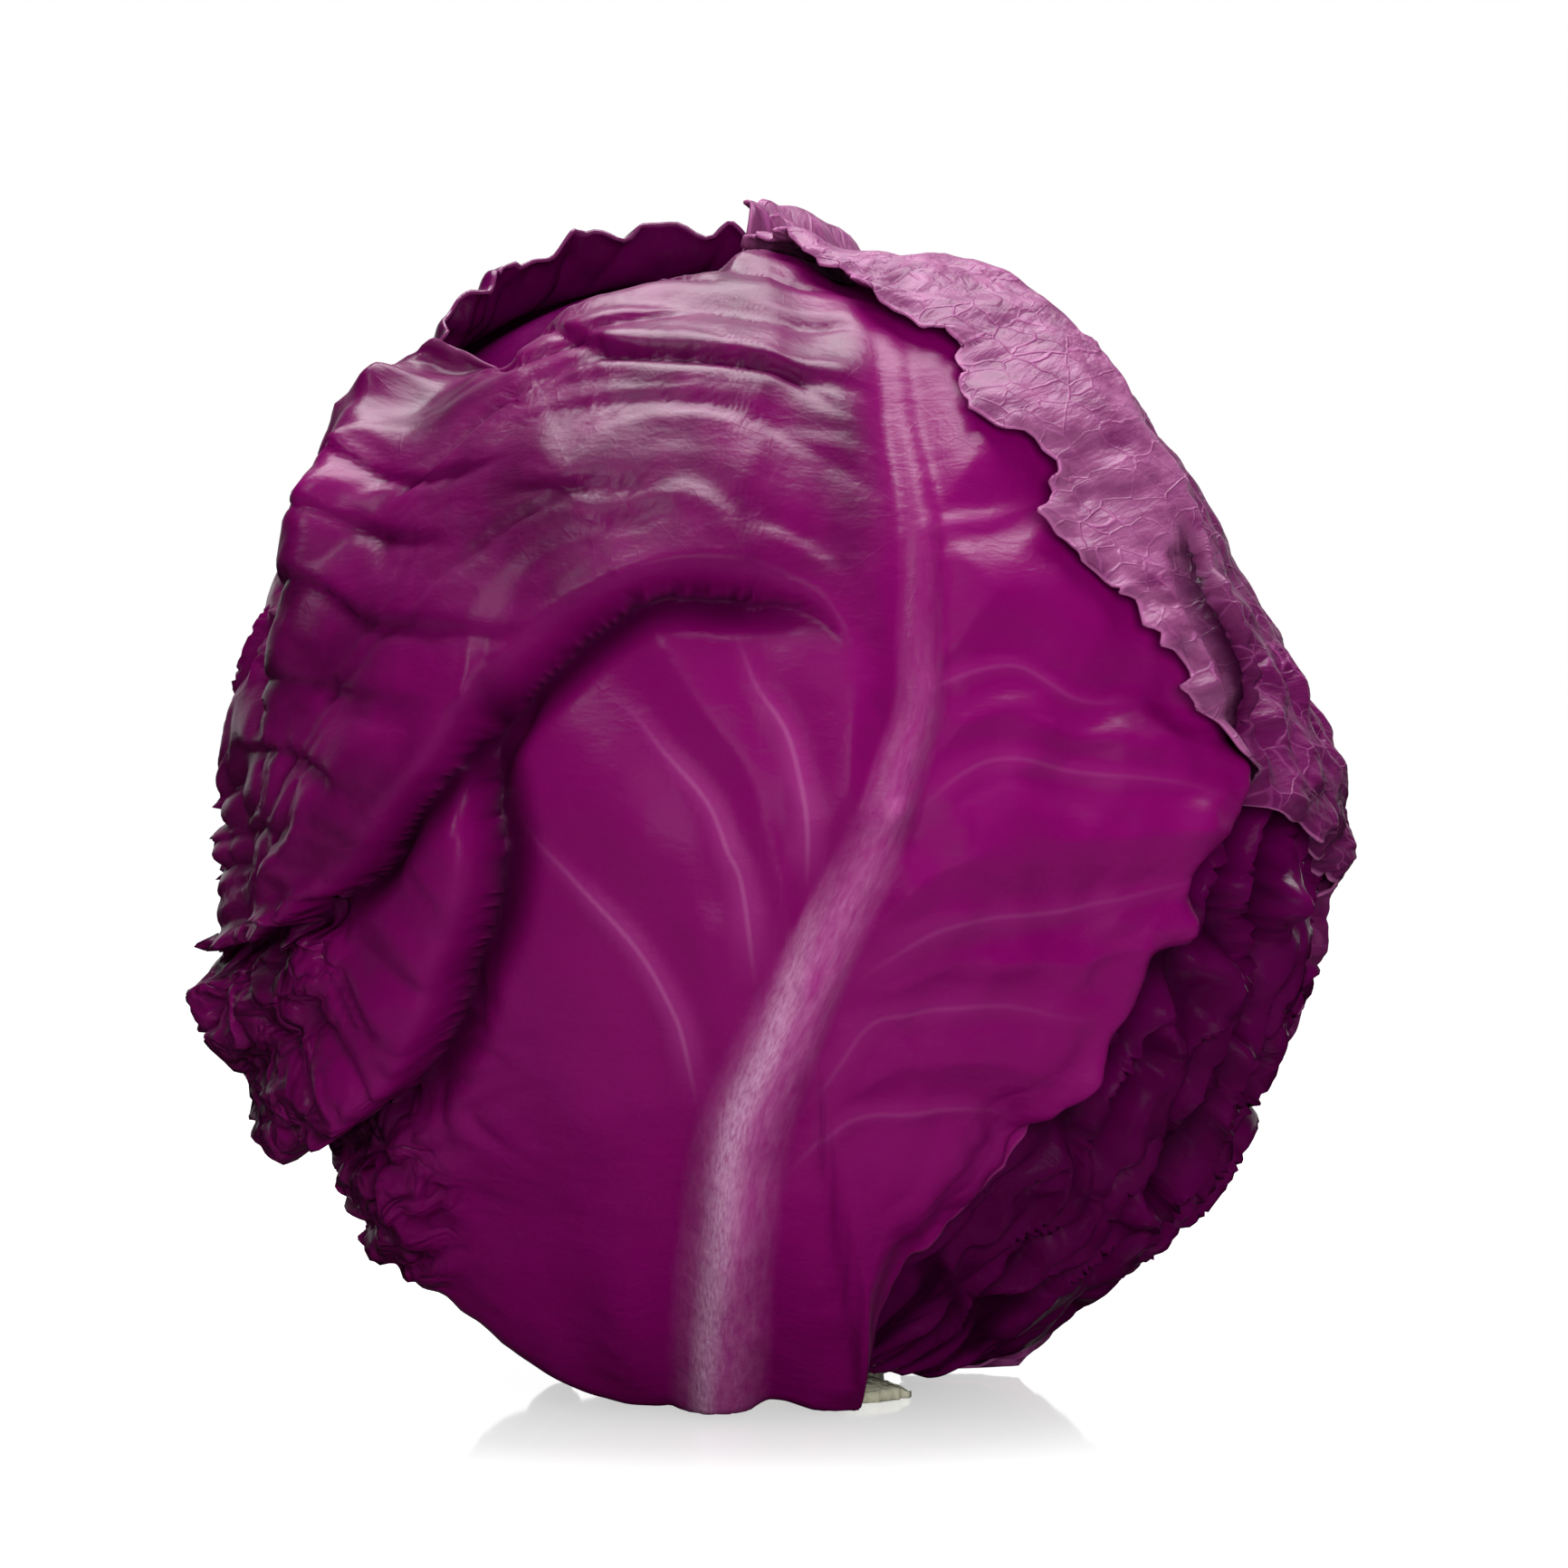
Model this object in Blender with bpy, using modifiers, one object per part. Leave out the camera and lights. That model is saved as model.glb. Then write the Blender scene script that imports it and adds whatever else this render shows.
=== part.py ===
"""Red cabbage head, standing on its cut stem.

A tight heart is wrapped by nine outer leaves, laid over one another from the inside out
as they grow. Each leaf is a closed shell of its own, thick along its midrib and thin in
its blade. A short cut stem carries the head, with the stubs of trimmed leaves round it.

Metres, +Z up. The origin is the centre of the stem's cut face, which is the foot that the
head stands on. The broad front leaf faces -Y. Azimuths turn from the front towards +X.
"""
import math

import bpy
import numpy as np
from mathutils import Vector
from mathutils.bvhtree import BVHTree

# Driving dimensions
HEAD_CENTRE_HEIGHT = 0.0812     # middle of the head above the surface it stands on
HEART_RADIUS = 0.0690           # the tight ball of inner leaves
HEART_STRETCH = 1.02            # its height over its width
CHART_RADIUS = 0.080            # the head's nominal radius, on which leaf outlines are drawn
LAYER_GAP = 0.0008              # clear space kept between one leaf and the next
STEM_RADIUS = 0.0165
STEM_TOP_RADIUS = 0.0155
STEM_HEIGHT = 0.0080
STEM_FOOT_BEVEL = 0.0008
BASE_CAP_DEG = 15.5             # leaves stop this far from the nadir, clear of the stem
STUB_INNER_RADIUS = STEM_RADIUS + 0.0006
STUB_OUTER_RADIUS = 0.0265
STUB_HEIGHT = 0.0030
STUB_HALF_ANGLE_DEG = 17.0
STUB_FACETS = 8                 # flats along a stub's curved side

RIB_FOOT_HALF_WIDTH = 11.0      # a midrib's half width in millimetres at the leaf's foot
RIB_TIP_HALF_WIDTH = 5.0
RIB_TIP_SHARE = 0.25            # how much of its depth a midrib keeps at the leaf's tip
SMOOTHING_ROUNDS = 10           # how taut a leaf lies over the layers under it
LONGEST_CELL = 2.6              # a grid's longest cell, in chart radii over its cell count
PROBE_SPREAD = 0.55             # how far to each side of a vertex the layers are felt, in cells
RAY_START = 0.2                 # rays start this far from the head's centre
CENTRE = Vector((0.0, 0.0, HEAD_CENTRE_HEIGHT))

# A leaf's outline: bearing round its middle in degrees (0 towards the tip, 90 to the right
# as seen from outside) and reach in millimetres along the head's surface.
COMMON_OUTLINE = [
    (0, 118), (30, 114), (60, 104), (90, 96), (120, 90), (150, 96),
    (180, 112), (210, 96), (240, 90), (270, 96), (300, 104), (330, 114),
]
FRONT_OUTLINE = [
    (0, 118), (20, 106), (41, 92), (61, 80), (80, 76), (97, 73), (111, 67), (122, 63),
    (139, 66), (160, 74), (172, 104), (185, 112), (205, 106), (230, 112), (255, 120),
    (280, 118), (305, 112), (330, 108),
]
RIGHT_OUTLINE = [
    (0, 100), (40, 96), (90, 90), (130, 92), (165, 104), (195, 106), (220, 104),
    (250, 96), (280, 86), (320, 90),
]
SHOULDER_OUTLINE = [
    (0, 110), (30, 106), (60, 98), (90, 92), (120, 90), (150, 98), (180, 112), (205, 98),
    (230, 78), (255, 66), (275, 68), (295, 78), (315, 92), (335, 108),
]

# Midrib routes, as (height, sideways) in millimetres from the leaf's middle, base first
STRAIGHT_RIB = [(-105, 0), (-40, 2), (20, -2), (80, 0)]
FRONT_RIB = [(-105, -9), (-60, -6), (-35, 0), (-14, 11), (5, 20), (25, 23), (60, 21), (92, 15)]

# Every leaf is about a millimetre thick; an exposed leaf's shell is as deep as its crinkles.
# name, azimuth and elevation of the leaf's middle, outline, midrib, depth of the blade's
# shell, depth at the foot of the midrib, cells along each side of its grid
LEAVES = [
    ("inner_leaf_1", 120, 0, COMMON_OUTLINE, STRAIGHT_RIB, 0.0011, 0.0016, 16),
    ("inner_leaf_2", -20, 0, COMMON_OUTLINE, STRAIGHT_RIB, 0.0011, 0.0016, 16),
    ("inner_leaf_3", -140, 0, COMMON_OUTLINE, STRAIGHT_RIB, 0.0011, 0.0016, 16),
    ("left_leaf", -72, 0, COMMON_OUTLINE, STRAIGHT_RIB, 0.0016, 0.0026, 18),
    ("crown_leaf", -118, 8, COMMON_OUTLINE, STRAIGHT_RIB, 0.0013, 0.0024, 18),
    ("right_leaf", 60, 0, RIGHT_OUTLINE, STRAIGHT_RIB, 0.0018, 0.0028, 18),
    ("back_leaf", 192, 0, COMMON_OUTLINE, STRAIGHT_RIB, 0.0022, 0.0042, 18),
    ("front_leaf", 0, 0, FRONT_OUTLINE, FRONT_RIB, 0.0026, 0.0060, 22),
    ("shoulder_leaf", 112, 4, SHOULDER_OUTLINE, STRAIGHT_RIB, 0.0022, 0.0046, 20),
]

# Stubs of leaves that were trimmed away: name and azimuth
STUBS = [("leaf_stub_1", 38), ("leaf_stub_2", -100), ("leaf_stub_3", 152)]

MM = 0.001


def clear_scene():
    for obj in list(bpy.data.objects):
        bpy.data.objects.remove(obj)


def principled(name, colour, roughness):
    material = bpy.data.materials.new(name)
    material.use_nodes = True
    shader = material.node_tree.nodes["Principled BSDF"]
    shader.inputs["Base Color"].default_value = (*colour, 1.0)
    shader.inputs["Roughness"].default_value = roughness
    shader.inputs["Metallic"].default_value = 0.0
    return material


def put_in(collection, obj, name, material):
    """Names the object, gives it its material and moves it to the part's collection."""
    obj.name = name
    obj.data.name = name
    obj.data.materials.clear()
    obj.data.materials.append(material)
    for other in list(obj.users_collection):
        other.objects.unlink(obj)
    collection.objects.link(obj)
    return obj


def axes_of(azimuth_deg, elevation_deg):
    """Right, outward and up at a place on the head, as seen from outside."""
    azimuth = math.radians(azimuth_deg)
    elevation = math.radians(elevation_deg)
    level = Vector((math.sin(azimuth), -math.cos(azimuth), 0.0))
    right = Vector((math.cos(azimuth), math.sin(azimuth), 0.0))
    outward = level * math.cos(elevation) + Vector((0.0, 0.0, math.sin(elevation)))
    up = Vector((0.0, 0.0, math.cos(elevation))) - level * math.sin(elevation)
    return right, outward, up


def direction_at(axes, across, along):
    """The direction from the head's centre to a point of a leaf's flat chart."""
    right, outward, up = axes
    distance = math.hypot(across, along)
    if distance < 1e-9:
        return outward.copy()
    angle = distance / CHART_RADIUS
    sideways = (right * across + up * along) / distance
    return outward * math.cos(angle) + sideways * math.sin(angle)


def outline_reach(outline, bearing_deg):
    """The reach at a bearing, on a closed smooth curve through the outline's points."""
    count = len(outline)
    for i in range(count):
        start = outline[i][0]
        end = outline[(i + 1) % count][0] + (360 if i + 1 == count else 0)
        if start <= bearing_deg <= end:
            break
    t = (bearing_deg - start) / (end - start)
    p0, p1, p2, p3 = (outline[(i + k) % count][1] for k in (-1, 0, 1, 2))
    return MM * 0.5 * (
        2 * p1 + (p2 - p0) * t + (2 * p0 - 5 * p1 + 4 * p2 - p3) * t * t
        + (3 * p1 - p0 - 3 * p2 + p3) * t ** 3
    )


def clear_reach(axes, bearing_deg, reach):
    """The reach, cut short where it would run into the stem's place under the head."""
    cap = -math.cos(math.radians(BASE_CAP_DEG))
    bearing = math.radians(bearing_deg)
    distance = reach / 2
    while distance < reach:
        direction = direction_at(axes, distance * math.sin(bearing), distance * math.cos(bearing))
        if direction.z < cap:
            return distance - MM
        distance += MM
    return reach


def stack_radius(trees, direction):
    """How far out the layers laid so far reach in this direction."""
    start = CENTRE + direction * RAY_START
    nearest = RAY_START
    for tree in trees:
        hit = tree.ray_cast(start, -direction, RAY_START)
        if hit[0] is not None:
            nearest = min(nearest, hit[3])
    return RAY_START - nearest


def smooth_drape(floor):
    """A taut sheet over the floor's radii: smoothed, and never under the floor."""
    sheet = floor.copy()
    for _ in range(SMOOTHING_ROUNDS):
        padded = np.pad(sheet, 1, mode="edge")
        around = padded[:-2, 1:-1] + padded[2:, 1:-1] + padded[1:-1, :-2] + padded[1:-1, 2:]
        sheet = np.maximum(floor, 0.5 * sheet + 0.125 * around)
    return sheet


def rib_share(rib, across, along):
    """1 on the midrib's line at the leaf's base, falling to 0 at its sides and its tip."""
    heights, sideways = zip(*rib)
    middle = float(np.interp(along / MM, heights, sideways))
    progress = min(max((along / MM - heights[0]) / (heights[-1] - heights[0]), 0.0), 1.0)
    half_width = RIB_FOOT_HALF_WIDTH + (RIB_TIP_HALF_WIDTH - RIB_FOOT_HALF_WIDTH) * progress
    side = max(0.0, 1.0 - abs(across / MM - middle) / half_width)
    return side * side * (3.0 - 2.0 * side) * (1.0 + (RIB_TIP_SHARE - 1.0) * progress)


def lay_leaf(collection, material, trees, leaf):
    """One leaf: a flat grid, cut to its outline, draped on the layers and made solid."""
    name, azimuth, elevation, outline, rib, blade_depth, rib_depth, cells = leaf
    axes = axes_of(azimuth, elevation)
    bpy.ops.mesh.primitive_grid_add(x_subdivisions=cells, y_subdivisions=cells, size=2.0)
    obj = bpy.context.active_object
    side = cells + 1
    chart = np.zeros((side, side, 2))
    floor = np.zeros((side, side))
    cell = LONGEST_CELL * CHART_RADIUS / cells
    # how far the middle of a flat facet sinks under the round it stands for
    sag = 2 * cell * cell / (8 * CHART_RADIUS)
    step = PROBE_SPREAD * cell
    offsets = [(dx * step, dy * step) for dx in (-1, 0, 1) for dy in (-1, 0, 1)]
    vertices = obj.data.vertices
    for index, vertex in enumerate(vertices):
        x, y = vertex.co.x, vertex.co.y
        # a square grid spread over a disc, whose cells stay even
        disc_x = x * math.sqrt(1 - y * y / 2)
        disc_y = y * math.sqrt(1 - x * x / 2)
        share = math.hypot(disc_x, disc_y)
        bearing = math.degrees(math.atan2(disc_x, disc_y)) % 360
        reach = clear_reach(axes, bearing, outline_reach(outline, bearing))
        across = share * reach * math.sin(math.radians(bearing))
        along = share * reach * math.cos(math.radians(bearing))
        row, column = divmod(index, side)
        chart[row, column] = across, along
        floor[row, column] = LAYER_GAP + sag + max(
            stack_radius(trees, direction_at(axes, across + dx, along + dy))
            for dx, dy in offsets
        )
    sheet = smooth_drape(floor)
    group = obj.vertex_groups.new(name="depth")
    for index, vertex in enumerate(vertices):
        across, along = chart[divmod(index, side)]
        direction = direction_at(axes, across, along)
        vertex.co = CENTRE + direction * sheet[divmod(index, side)]
        depth = blade_depth + (rib_depth - blade_depth) * rib_share(rib, across, along)
        group.add([index], depth / rib_depth, "REPLACE")
    solidify = obj.modifiers.new("leaf thickness", "SOLIDIFY")
    solidify.thickness = rib_depth
    solidify.offset = 1.0
    solidify.vertex_group = group.name
    obj.data.shade_smooth()
    put_in(collection, obj, name, material)
    return obj


def tree_of(obj):
    bpy.context.view_layer.update()
    return BVHTree.FromObject(obj, bpy.context.evaluated_depsgraph_get())


def add_heart(collection, material):
    bpy.ops.mesh.primitive_uv_sphere_add(
        segments=32, ring_count=20, radius=HEART_RADIUS, location=CENTRE
    )
    obj = bpy.context.active_object
    obj.scale.z = HEART_STRETCH
    # the rays below read its mesh, so the mesh itself stands where the heart is
    bpy.ops.object.transform_apply(location=True, rotation=True, scale=True)
    obj.data.shade_smooth()
    return put_in(collection, obj, "heart", material)


def add_stem(collection, material):
    bpy.ops.mesh.primitive_cone_add(
        vertices=40, radius1=STEM_RADIUS, radius2=STEM_TOP_RADIUS, depth=STEM_HEIGHT,
        location=(0.0, 0.0, STEM_HEIGHT / 2),
    )
    obj = bpy.context.active_object
    bevel = obj.modifiers.new("soft foot", "BEVEL")
    bevel.width = STEM_FOOT_BEVEL
    bevel.segments = 2
    bevel.limit_method = "ANGLE"
    return put_in(collection, obj, "stem", material)


def add_stub(collection, material, name, azimuth_deg):
    """The cut foot of a trimmed leaf: a sector of a flat ring, lying against the stem."""
    spread = [
        math.radians(azimuth_deg + STUB_HALF_ANGLE_DEG * (2 * i / STUB_FACETS - 1))
        for i in range(STUB_FACETS + 1)
    ]
    inner = [(STUB_INNER_RADIUS, angle) for angle in spread]
    outer = [(STUB_OUTER_RADIUS, angle) for angle in reversed(spread)]
    curve = bpy.data.curves.new(name, "CURVE")
    curve.dimensions = "2D"
    curve.fill_mode = "BOTH"
    curve.extrude = STUB_HEIGHT / 2
    spline = curve.splines.new("POLY")
    spline.points.add(2 * (STUB_FACETS + 1) - 1)
    for point, (radius, angle) in zip(spline.points, inner + outer):
        point.co = (radius * math.sin(angle), -radius * math.cos(angle), 0.0, 1.0)
    spline.use_cyclic_u = True
    obj = bpy.data.objects.new(name, curve)
    obj.location.z = STUB_HEIGHT / 2
    return put_in(collection, obj, name, material)


def build():
    clear_scene()
    collection = bpy.data.collections.new("red_cabbage_head")
    bpy.context.scene.collection.children.link(collection)
    leaf_purple = principled("leaf_purple", (0.20, 0.008, 0.14), 0.42)
    pale_flesh = principled("pale_flesh", (0.62, 0.60, 0.42), 0.55)
    add_stem(collection, pale_flesh)
    for name, azimuth in STUBS:
        add_stub(collection, pale_flesh, name, azimuth)
    trees = [tree_of(add_heart(collection, leaf_purple))]
    for leaf in LEAVES:
        trees.append(tree_of(lay_leaf(collection, leaf_purple, trees, leaf)))


build()
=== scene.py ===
# %% [markdown]
# # A red cabbage head, standing on its cut stem
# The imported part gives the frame: a heart, nine leaves, a stem and three leaf stubs, in metres
# with +Z up. Here every one of them gets the looks of the real vegetable, in the same place.

import math

import bpy
import numpy as np
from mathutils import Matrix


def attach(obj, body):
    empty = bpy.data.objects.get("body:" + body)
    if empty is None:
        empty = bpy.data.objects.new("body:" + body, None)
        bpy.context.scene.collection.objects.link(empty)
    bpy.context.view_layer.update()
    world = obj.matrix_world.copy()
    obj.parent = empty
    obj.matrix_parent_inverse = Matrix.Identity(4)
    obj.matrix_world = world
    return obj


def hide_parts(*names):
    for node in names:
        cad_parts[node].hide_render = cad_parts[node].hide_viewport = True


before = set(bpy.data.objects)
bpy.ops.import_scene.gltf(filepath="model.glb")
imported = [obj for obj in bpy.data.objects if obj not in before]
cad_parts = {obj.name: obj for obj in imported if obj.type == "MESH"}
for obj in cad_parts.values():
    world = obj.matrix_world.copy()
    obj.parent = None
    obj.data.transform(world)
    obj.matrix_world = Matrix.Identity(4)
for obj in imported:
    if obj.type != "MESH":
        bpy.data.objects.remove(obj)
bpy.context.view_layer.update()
print("CAD nodes:", ", ".join(sorted(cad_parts)))

# %% [markdown]
# ## The round that the leaves are drawn on
# A cabbage leaf is a sheet wrapped round a ball. Each leaf is therefore drawn on a flat chart,
# like a map of the head with the leaf's own middle as its pole, and every distance on it is
# in millimetres along the head's surface. Marks that show from the front are drawn on a front
# elevation instead, in millimetres right and up of the head's middle, and carried to the chart
# along the line of sight.

# %% Charts and the front elevation
CENTRE = np.array([0.0, 0.0, 81.2])     # the head's middle, mm
ROUND = 80.0                            # the head's nominal radius, mm
EYE_DISTANCE = 750.0                    # from the head's middle to the eye, mm
EYE_RISE = 1.5                          # degrees that the eye looks down by
DRAWING_RISE = 1.1                      # mm from the head's middle up to the drawing's zero
FOOT_HEIGHTS = [-78, -40]               # a leaf's foot, on the drawing
EYE_DIRECTION = np.array(
    [0.0, -math.cos(math.radians(EYE_RISE)), math.sin(math.radians(EYE_RISE))]
)
VIEW_UP = np.array([0.0, math.sin(math.radians(EYE_RISE)), math.cos(math.radians(EYE_RISE))])


def axes_of(azimuth_deg, elevation_deg):
    """Right, outward and up at a place on the head, as seen from outside."""
    azimuth, elevation = math.radians(azimuth_deg), math.radians(elevation_deg)
    level = np.array([math.sin(azimuth), -math.cos(azimuth), 0.0])
    right = np.array([math.cos(azimuth), math.sin(azimuth), 0.0])
    outward = level * math.cos(elevation) + np.array([0.0, 0.0, math.sin(elevation)])
    return right, outward, np.cross(outward, right)


def direction_at(axes, across, along):
    """Directions from the head's middle to points of a leaf's chart."""
    right, outward, up = axes
    distance = np.hypot(across, along)
    angle = distance / ROUND
    safe = np.maximum(distance, 1e-9)
    sideways = (across / safe)[..., None] * right + (along / safe)[..., None] * up
    return outward * np.cos(angle)[..., None] + sideways * np.sin(angle)[..., None]


def chart_of(axes, direction):
    """The chart point of each direction, the other way round."""
    right, outward, up = axes
    x, y = direction @ right, direction @ up
    flat = np.hypot(x, y)
    share = ROUND * np.arctan2(flat, direction @ outward) / np.maximum(flat, 1e-9)
    return x * share, y * share


def from_front(axes, points, leaf_radius, foot_radius=None):
    """Points of the front elevation, carried along the line of sight to a leaf's chart.

    The leaf is taken as a ball of leaf_radius, or of foot_radius down by its foot.
    """
    radii = [foot_radius or leaf_radius, leaf_radius]
    eye = EYE_DIRECTION * EYE_DISTANCE
    found = []
    for x, z in points:
        ray = np.array([x, 0.0, 0.0]) + VIEW_UP * (z - DRAWING_RISE) - eye
        ray /= np.linalg.norm(ray)
        nearest = -(eye @ ray)
        radius = np.interp(z, FOOT_HEIGHTS, radii)
        depth = radius**2 - (eye @ eye - nearest**2)
        place = eye + ray * (nearest - math.sqrt(max(depth, 0.0)))
        found.append(place / np.linalg.norm(place))
    return np.stack(chart_of(axes, np.array(found)), axis=-1)


def smooth_line(points, steps=8):
    """A smooth line through the points (Catmull-Rom)."""
    points = np.asarray(points, float)
    ends = np.vstack([2 * points[0] - points[1], points, 2 * points[-1] - points[-2]])
    t = np.linspace(0, 1, steps, endpoint=False)[:, None]
    line = []
    for p0, p1, p2, p3 in zip(ends, ends[1:], ends[2:], ends[3:]):
        line.append(0.5 * (
            2 * p1 + (p2 - p0) * t + (2 * p0 - 5 * p1 + 4 * p2 - p3) * t**2
            + (3 * p1 - p0 - 3 * p2 + p3) * t**3
        ))
    return np.vstack(line + [points[-1:]])


# %% [markdown]
# ## Tools for shaping
# Three marks make a leaf: a ridge (a vein, a fold, or a crease when it is negative), a lip,
# where the blade rolls over and overhangs what lies under it, and a rumple, the irregular
# puckering of a blade that grew faster than its veins.

# %% Shaping tools
def smoothstep(low, high, value):
    t = np.clip((value - low) / (high - low), 0.0, 1.0)
    return t * t * (3.0 - 2.0 * t)


def noise(x, y, seed):
    """Smooth random hills about one unit across, from about -1 to 1."""
    size = 64
    turn = np.random.default_rng(seed).random((size, size)) * 2 * math.pi
    slope_x, slope_y = np.cos(turn), np.sin(turn)
    column, row = np.floor(x).astype(int), np.floor(y).astype(int)
    fx, fy = x - column, y - row
    wx, wy = fx**3 * (fx * (fx * 6 - 15) + 10), fy**3 * (fy * (fy * 6 - 15) + 10)

    def corner(i, j):
        a, b = (row + j) % size, (column + i) % size
        return slope_x[a, b] * (fx - i) + slope_y[a, b] * (fy - j)

    low = corner(0, 0) * (1 - wx) + corner(1, 0) * wx
    high = corner(0, 1) * (1 - wx) + corner(1, 1) * wx
    return (low * (1 - wy) + high * wy) * 1.5


def rumple(x, y, seed, warp=0.9):
    """Rounded puckers with sharp creases between them, from 0 to about 1."""
    wx = x + warp * noise(x * 0.6 + 9.1, y * 0.6, seed + 1)
    wy = y + warp * noise(x * 0.6, y * 0.6 + 5.3, seed + 2)
    coarse = np.abs(noise(wx, wy, seed))
    fine = np.abs(noise(wx * 2.1 + 3.7, wy * 2.1, seed + 3))
    return np.minimum(1.0, np.sqrt(coarse + 0.02) * 1.1) * 0.8 + 0.2 * fine


def follow(sheet, line):
    """Signed distance to a line (left of it is positive), progress along it, and the way left."""
    a, b = sheet["a"], sheet["b"]
    best = np.full(a.shape, 1e9)
    signed = np.full(a.shape, 1e9)
    progress = np.zeros(a.shape)
    left_a, left_b = np.zeros(a.shape), np.zeros(a.shape)
    lengths = np.hypot(*np.diff(line, axis=0).T)
    total, run = lengths.sum(), 0.0
    for start, end, length in zip(line, line[1:], lengths):
        if length < 1e-6:
            continue
        ta, tb = (end - start) / length
        da, db = a - start[0], b - start[1]
        t = np.clip(da * ta + db * tb, 0.0, length)
        oa, ob = da - t * ta, db - t * tb
        distance = np.hypot(oa, ob)
        closer = distance < best
        side = np.sign(-tb * da + ta * db)
        best = np.where(closer, distance, best)
        signed = np.where(closer, side * distance, signed)
        progress = np.where(closer, (run + t) / total, progress)
        left_a, left_b = np.where(closer, -tb, left_a), np.where(closer, ta, left_b)
        run += length
    return signed, progress, left_a, left_b


def tapered(progress, start, end):
    """1 along a mark, fading out over these shares of its length at its two ends."""
    rise = smoothstep(0, start, progress) if start > 0 else 1.0
    fall = smoothstep(0, end, 1 - progress) if end > 0 else 1.0
    return rise * fall


def varying(values, progress):
    """A value that changes along a line, given at evenly spaced places on it."""
    values = np.atleast_1d(values)
    return np.interp(progress, np.linspace(0, 1, len(values)), values)


def ridge(sheet, line, height, width, taper=(0.15, 0.25), flat=0.0):
    """Adds a ridge, or a crease where height is negative. Height and width may change along it."""
    signed, progress, _, _ = follow(sheet, smooth_line(line))
    side = np.clip((np.abs(signed) / varying(width, progress) - flat) / (1 - flat), 0, 1)
    shape = (1 - side**2) ** 2 * tapered(progress, *taper)
    sheet["relief"] += varying(height, progress) * shape
    nearer = np.abs(signed) < np.abs(sheet["vein_side"])
    sheet["vein_side"] = np.where(nearer, signed, sheet["vein_side"])
    return shape


def lip(sheet, line, rise, roll, reach, hollow, hollow_width, overhang, taper=(0.1, 0.1)):
    """Raises the blade on the line's left, and rolls its edge over a hollow on the right.

    Gives back where the hollow is, which lies in shade.
    """
    signed, progress, left_a, left_b = follow(sheet, smooth_line(line))
    ends = tapered(progress, *taper)
    t = np.clip(signed / roll, 0, 1)
    quarter = np.sqrt(np.maximum(1 - (1 - t) ** 2, 0))
    raised = np.where(signed > 0, quarter * (1 - smoothstep(roll, reach, signed)), 0)
    sunk = 1 - smoothstep(0, hollow_width, -signed)
    sunk = np.where(signed > 0, 1 - quarter, sunk)
    sheet["relief"] += (varying(rise, progress) * raised - hollow * sunk) * ends
    push = overhang * ends * np.where(
        signed > 0, quarter * (1 - smoothstep(roll * 0.8, roll * 3.5, signed)), 0
    )
    sheet["drift_a"] -= push * left_a
    sheet["drift_b"] -= push * left_b
    return np.where(signed < 0, 1 - smoothstep(0, hollow_width, -signed), 0) * ends


def patch(sheet, middle, size, turn_deg=0.0, soft=0.5):
    """1 inside an ellipse of the chart, fading to 0 towards its edge."""
    turn = math.radians(turn_deg)
    da, db = sheet["a"] - middle[0], sheet["b"] - middle[1]
    x = (da * math.cos(turn) + db * math.sin(turn)) / size[0]
    y = (-da * math.sin(turn) + db * math.cos(turn)) / size[1]
    return 1 - smoothstep(1 - soft, 1.0, np.hypot(x, y))


# %% [markdown]
# ## Layers
# The head is built as it grows, from the inside out. A map of the whole round keeps how far out
# the layers laid so far reach in every direction. The next leaf is spread over that map like a
# taut skin, so it never cuts into what is under it, and then it raises the map itself.

# %% The map of the layers
MAP_STEP = 0.4                          # degrees
map_azimuth, map_elevation = np.meshgrid(
    np.arange(0, 360, MAP_STEP), np.arange(-90, 90 + MAP_STEP / 2, MAP_STEP)
)
map_direction = np.stack([
    np.sin(np.radians(map_azimuth)) * np.cos(np.radians(map_elevation)),
    -np.cos(np.radians(map_azimuth)) * np.cos(np.radians(map_elevation)),
    np.sin(np.radians(map_elevation)),
], axis=-1)

HEART_RADIUS = 65.6                     # mm
# As shares of that radius: fuller than a ball at the top, and fuller still near the foot
SHAPE_ELEVATION = [-90, -80, -71, -65, -58, -48, -33, -15, 5, 20, 38, 60, 90]
SHAPE_SHARE = [0.95, 1.19, 1.22, 1.18, 1.13, 1.075, 1.035, 1.01, 1.0, 1.005, 1.025, 1.055, 1.06]


def heart_radius(direction):
    elevation = np.degrees(np.arcsin(np.clip(direction[..., 2], -1, 1)))
    return HEART_RADIUS * np.interp(elevation, SHAPE_ELEVATION, SHAPE_SHARE)


layers = heart_radius(map_direction)


def reach_of_layers(direction):
    """How far out the layers reach, in mm, in each direction."""
    elevation = np.degrees(np.arcsin(np.clip(direction[..., 2], -1, 1)))
    azimuth = np.degrees(np.arctan2(direction[..., 0], -direction[..., 1])) % 360
    column, row = azimuth / MAP_STEP, (elevation + 90) / MAP_STEP
    return bilinear(layers, row, column, wrap=True)


def bilinear(grid, row, column, wrap=False):
    """Reads a grid between its points. With wrap, its last column meets its first."""
    rows, columns = grid.shape
    r0 = np.clip(np.floor(row).astype(int), 0, rows - 2)
    fr = np.clip(row - r0, 0, 1)
    whole = np.floor(column).astype(int)
    c0 = whole % columns if wrap else np.clip(whole, 0, columns - 2)
    c1 = (c0 + 1) % columns
    fc = np.clip(column - (whole if wrap else c0), 0, 1)
    low = grid[r0, c0] * (1 - fc) + grid[r0, c1] * fc
    high = grid[r0 + 1, c0] * (1 - fc) + grid[r0 + 1, c1] * fc
    return low * (1 - fr) + high * fr


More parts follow.
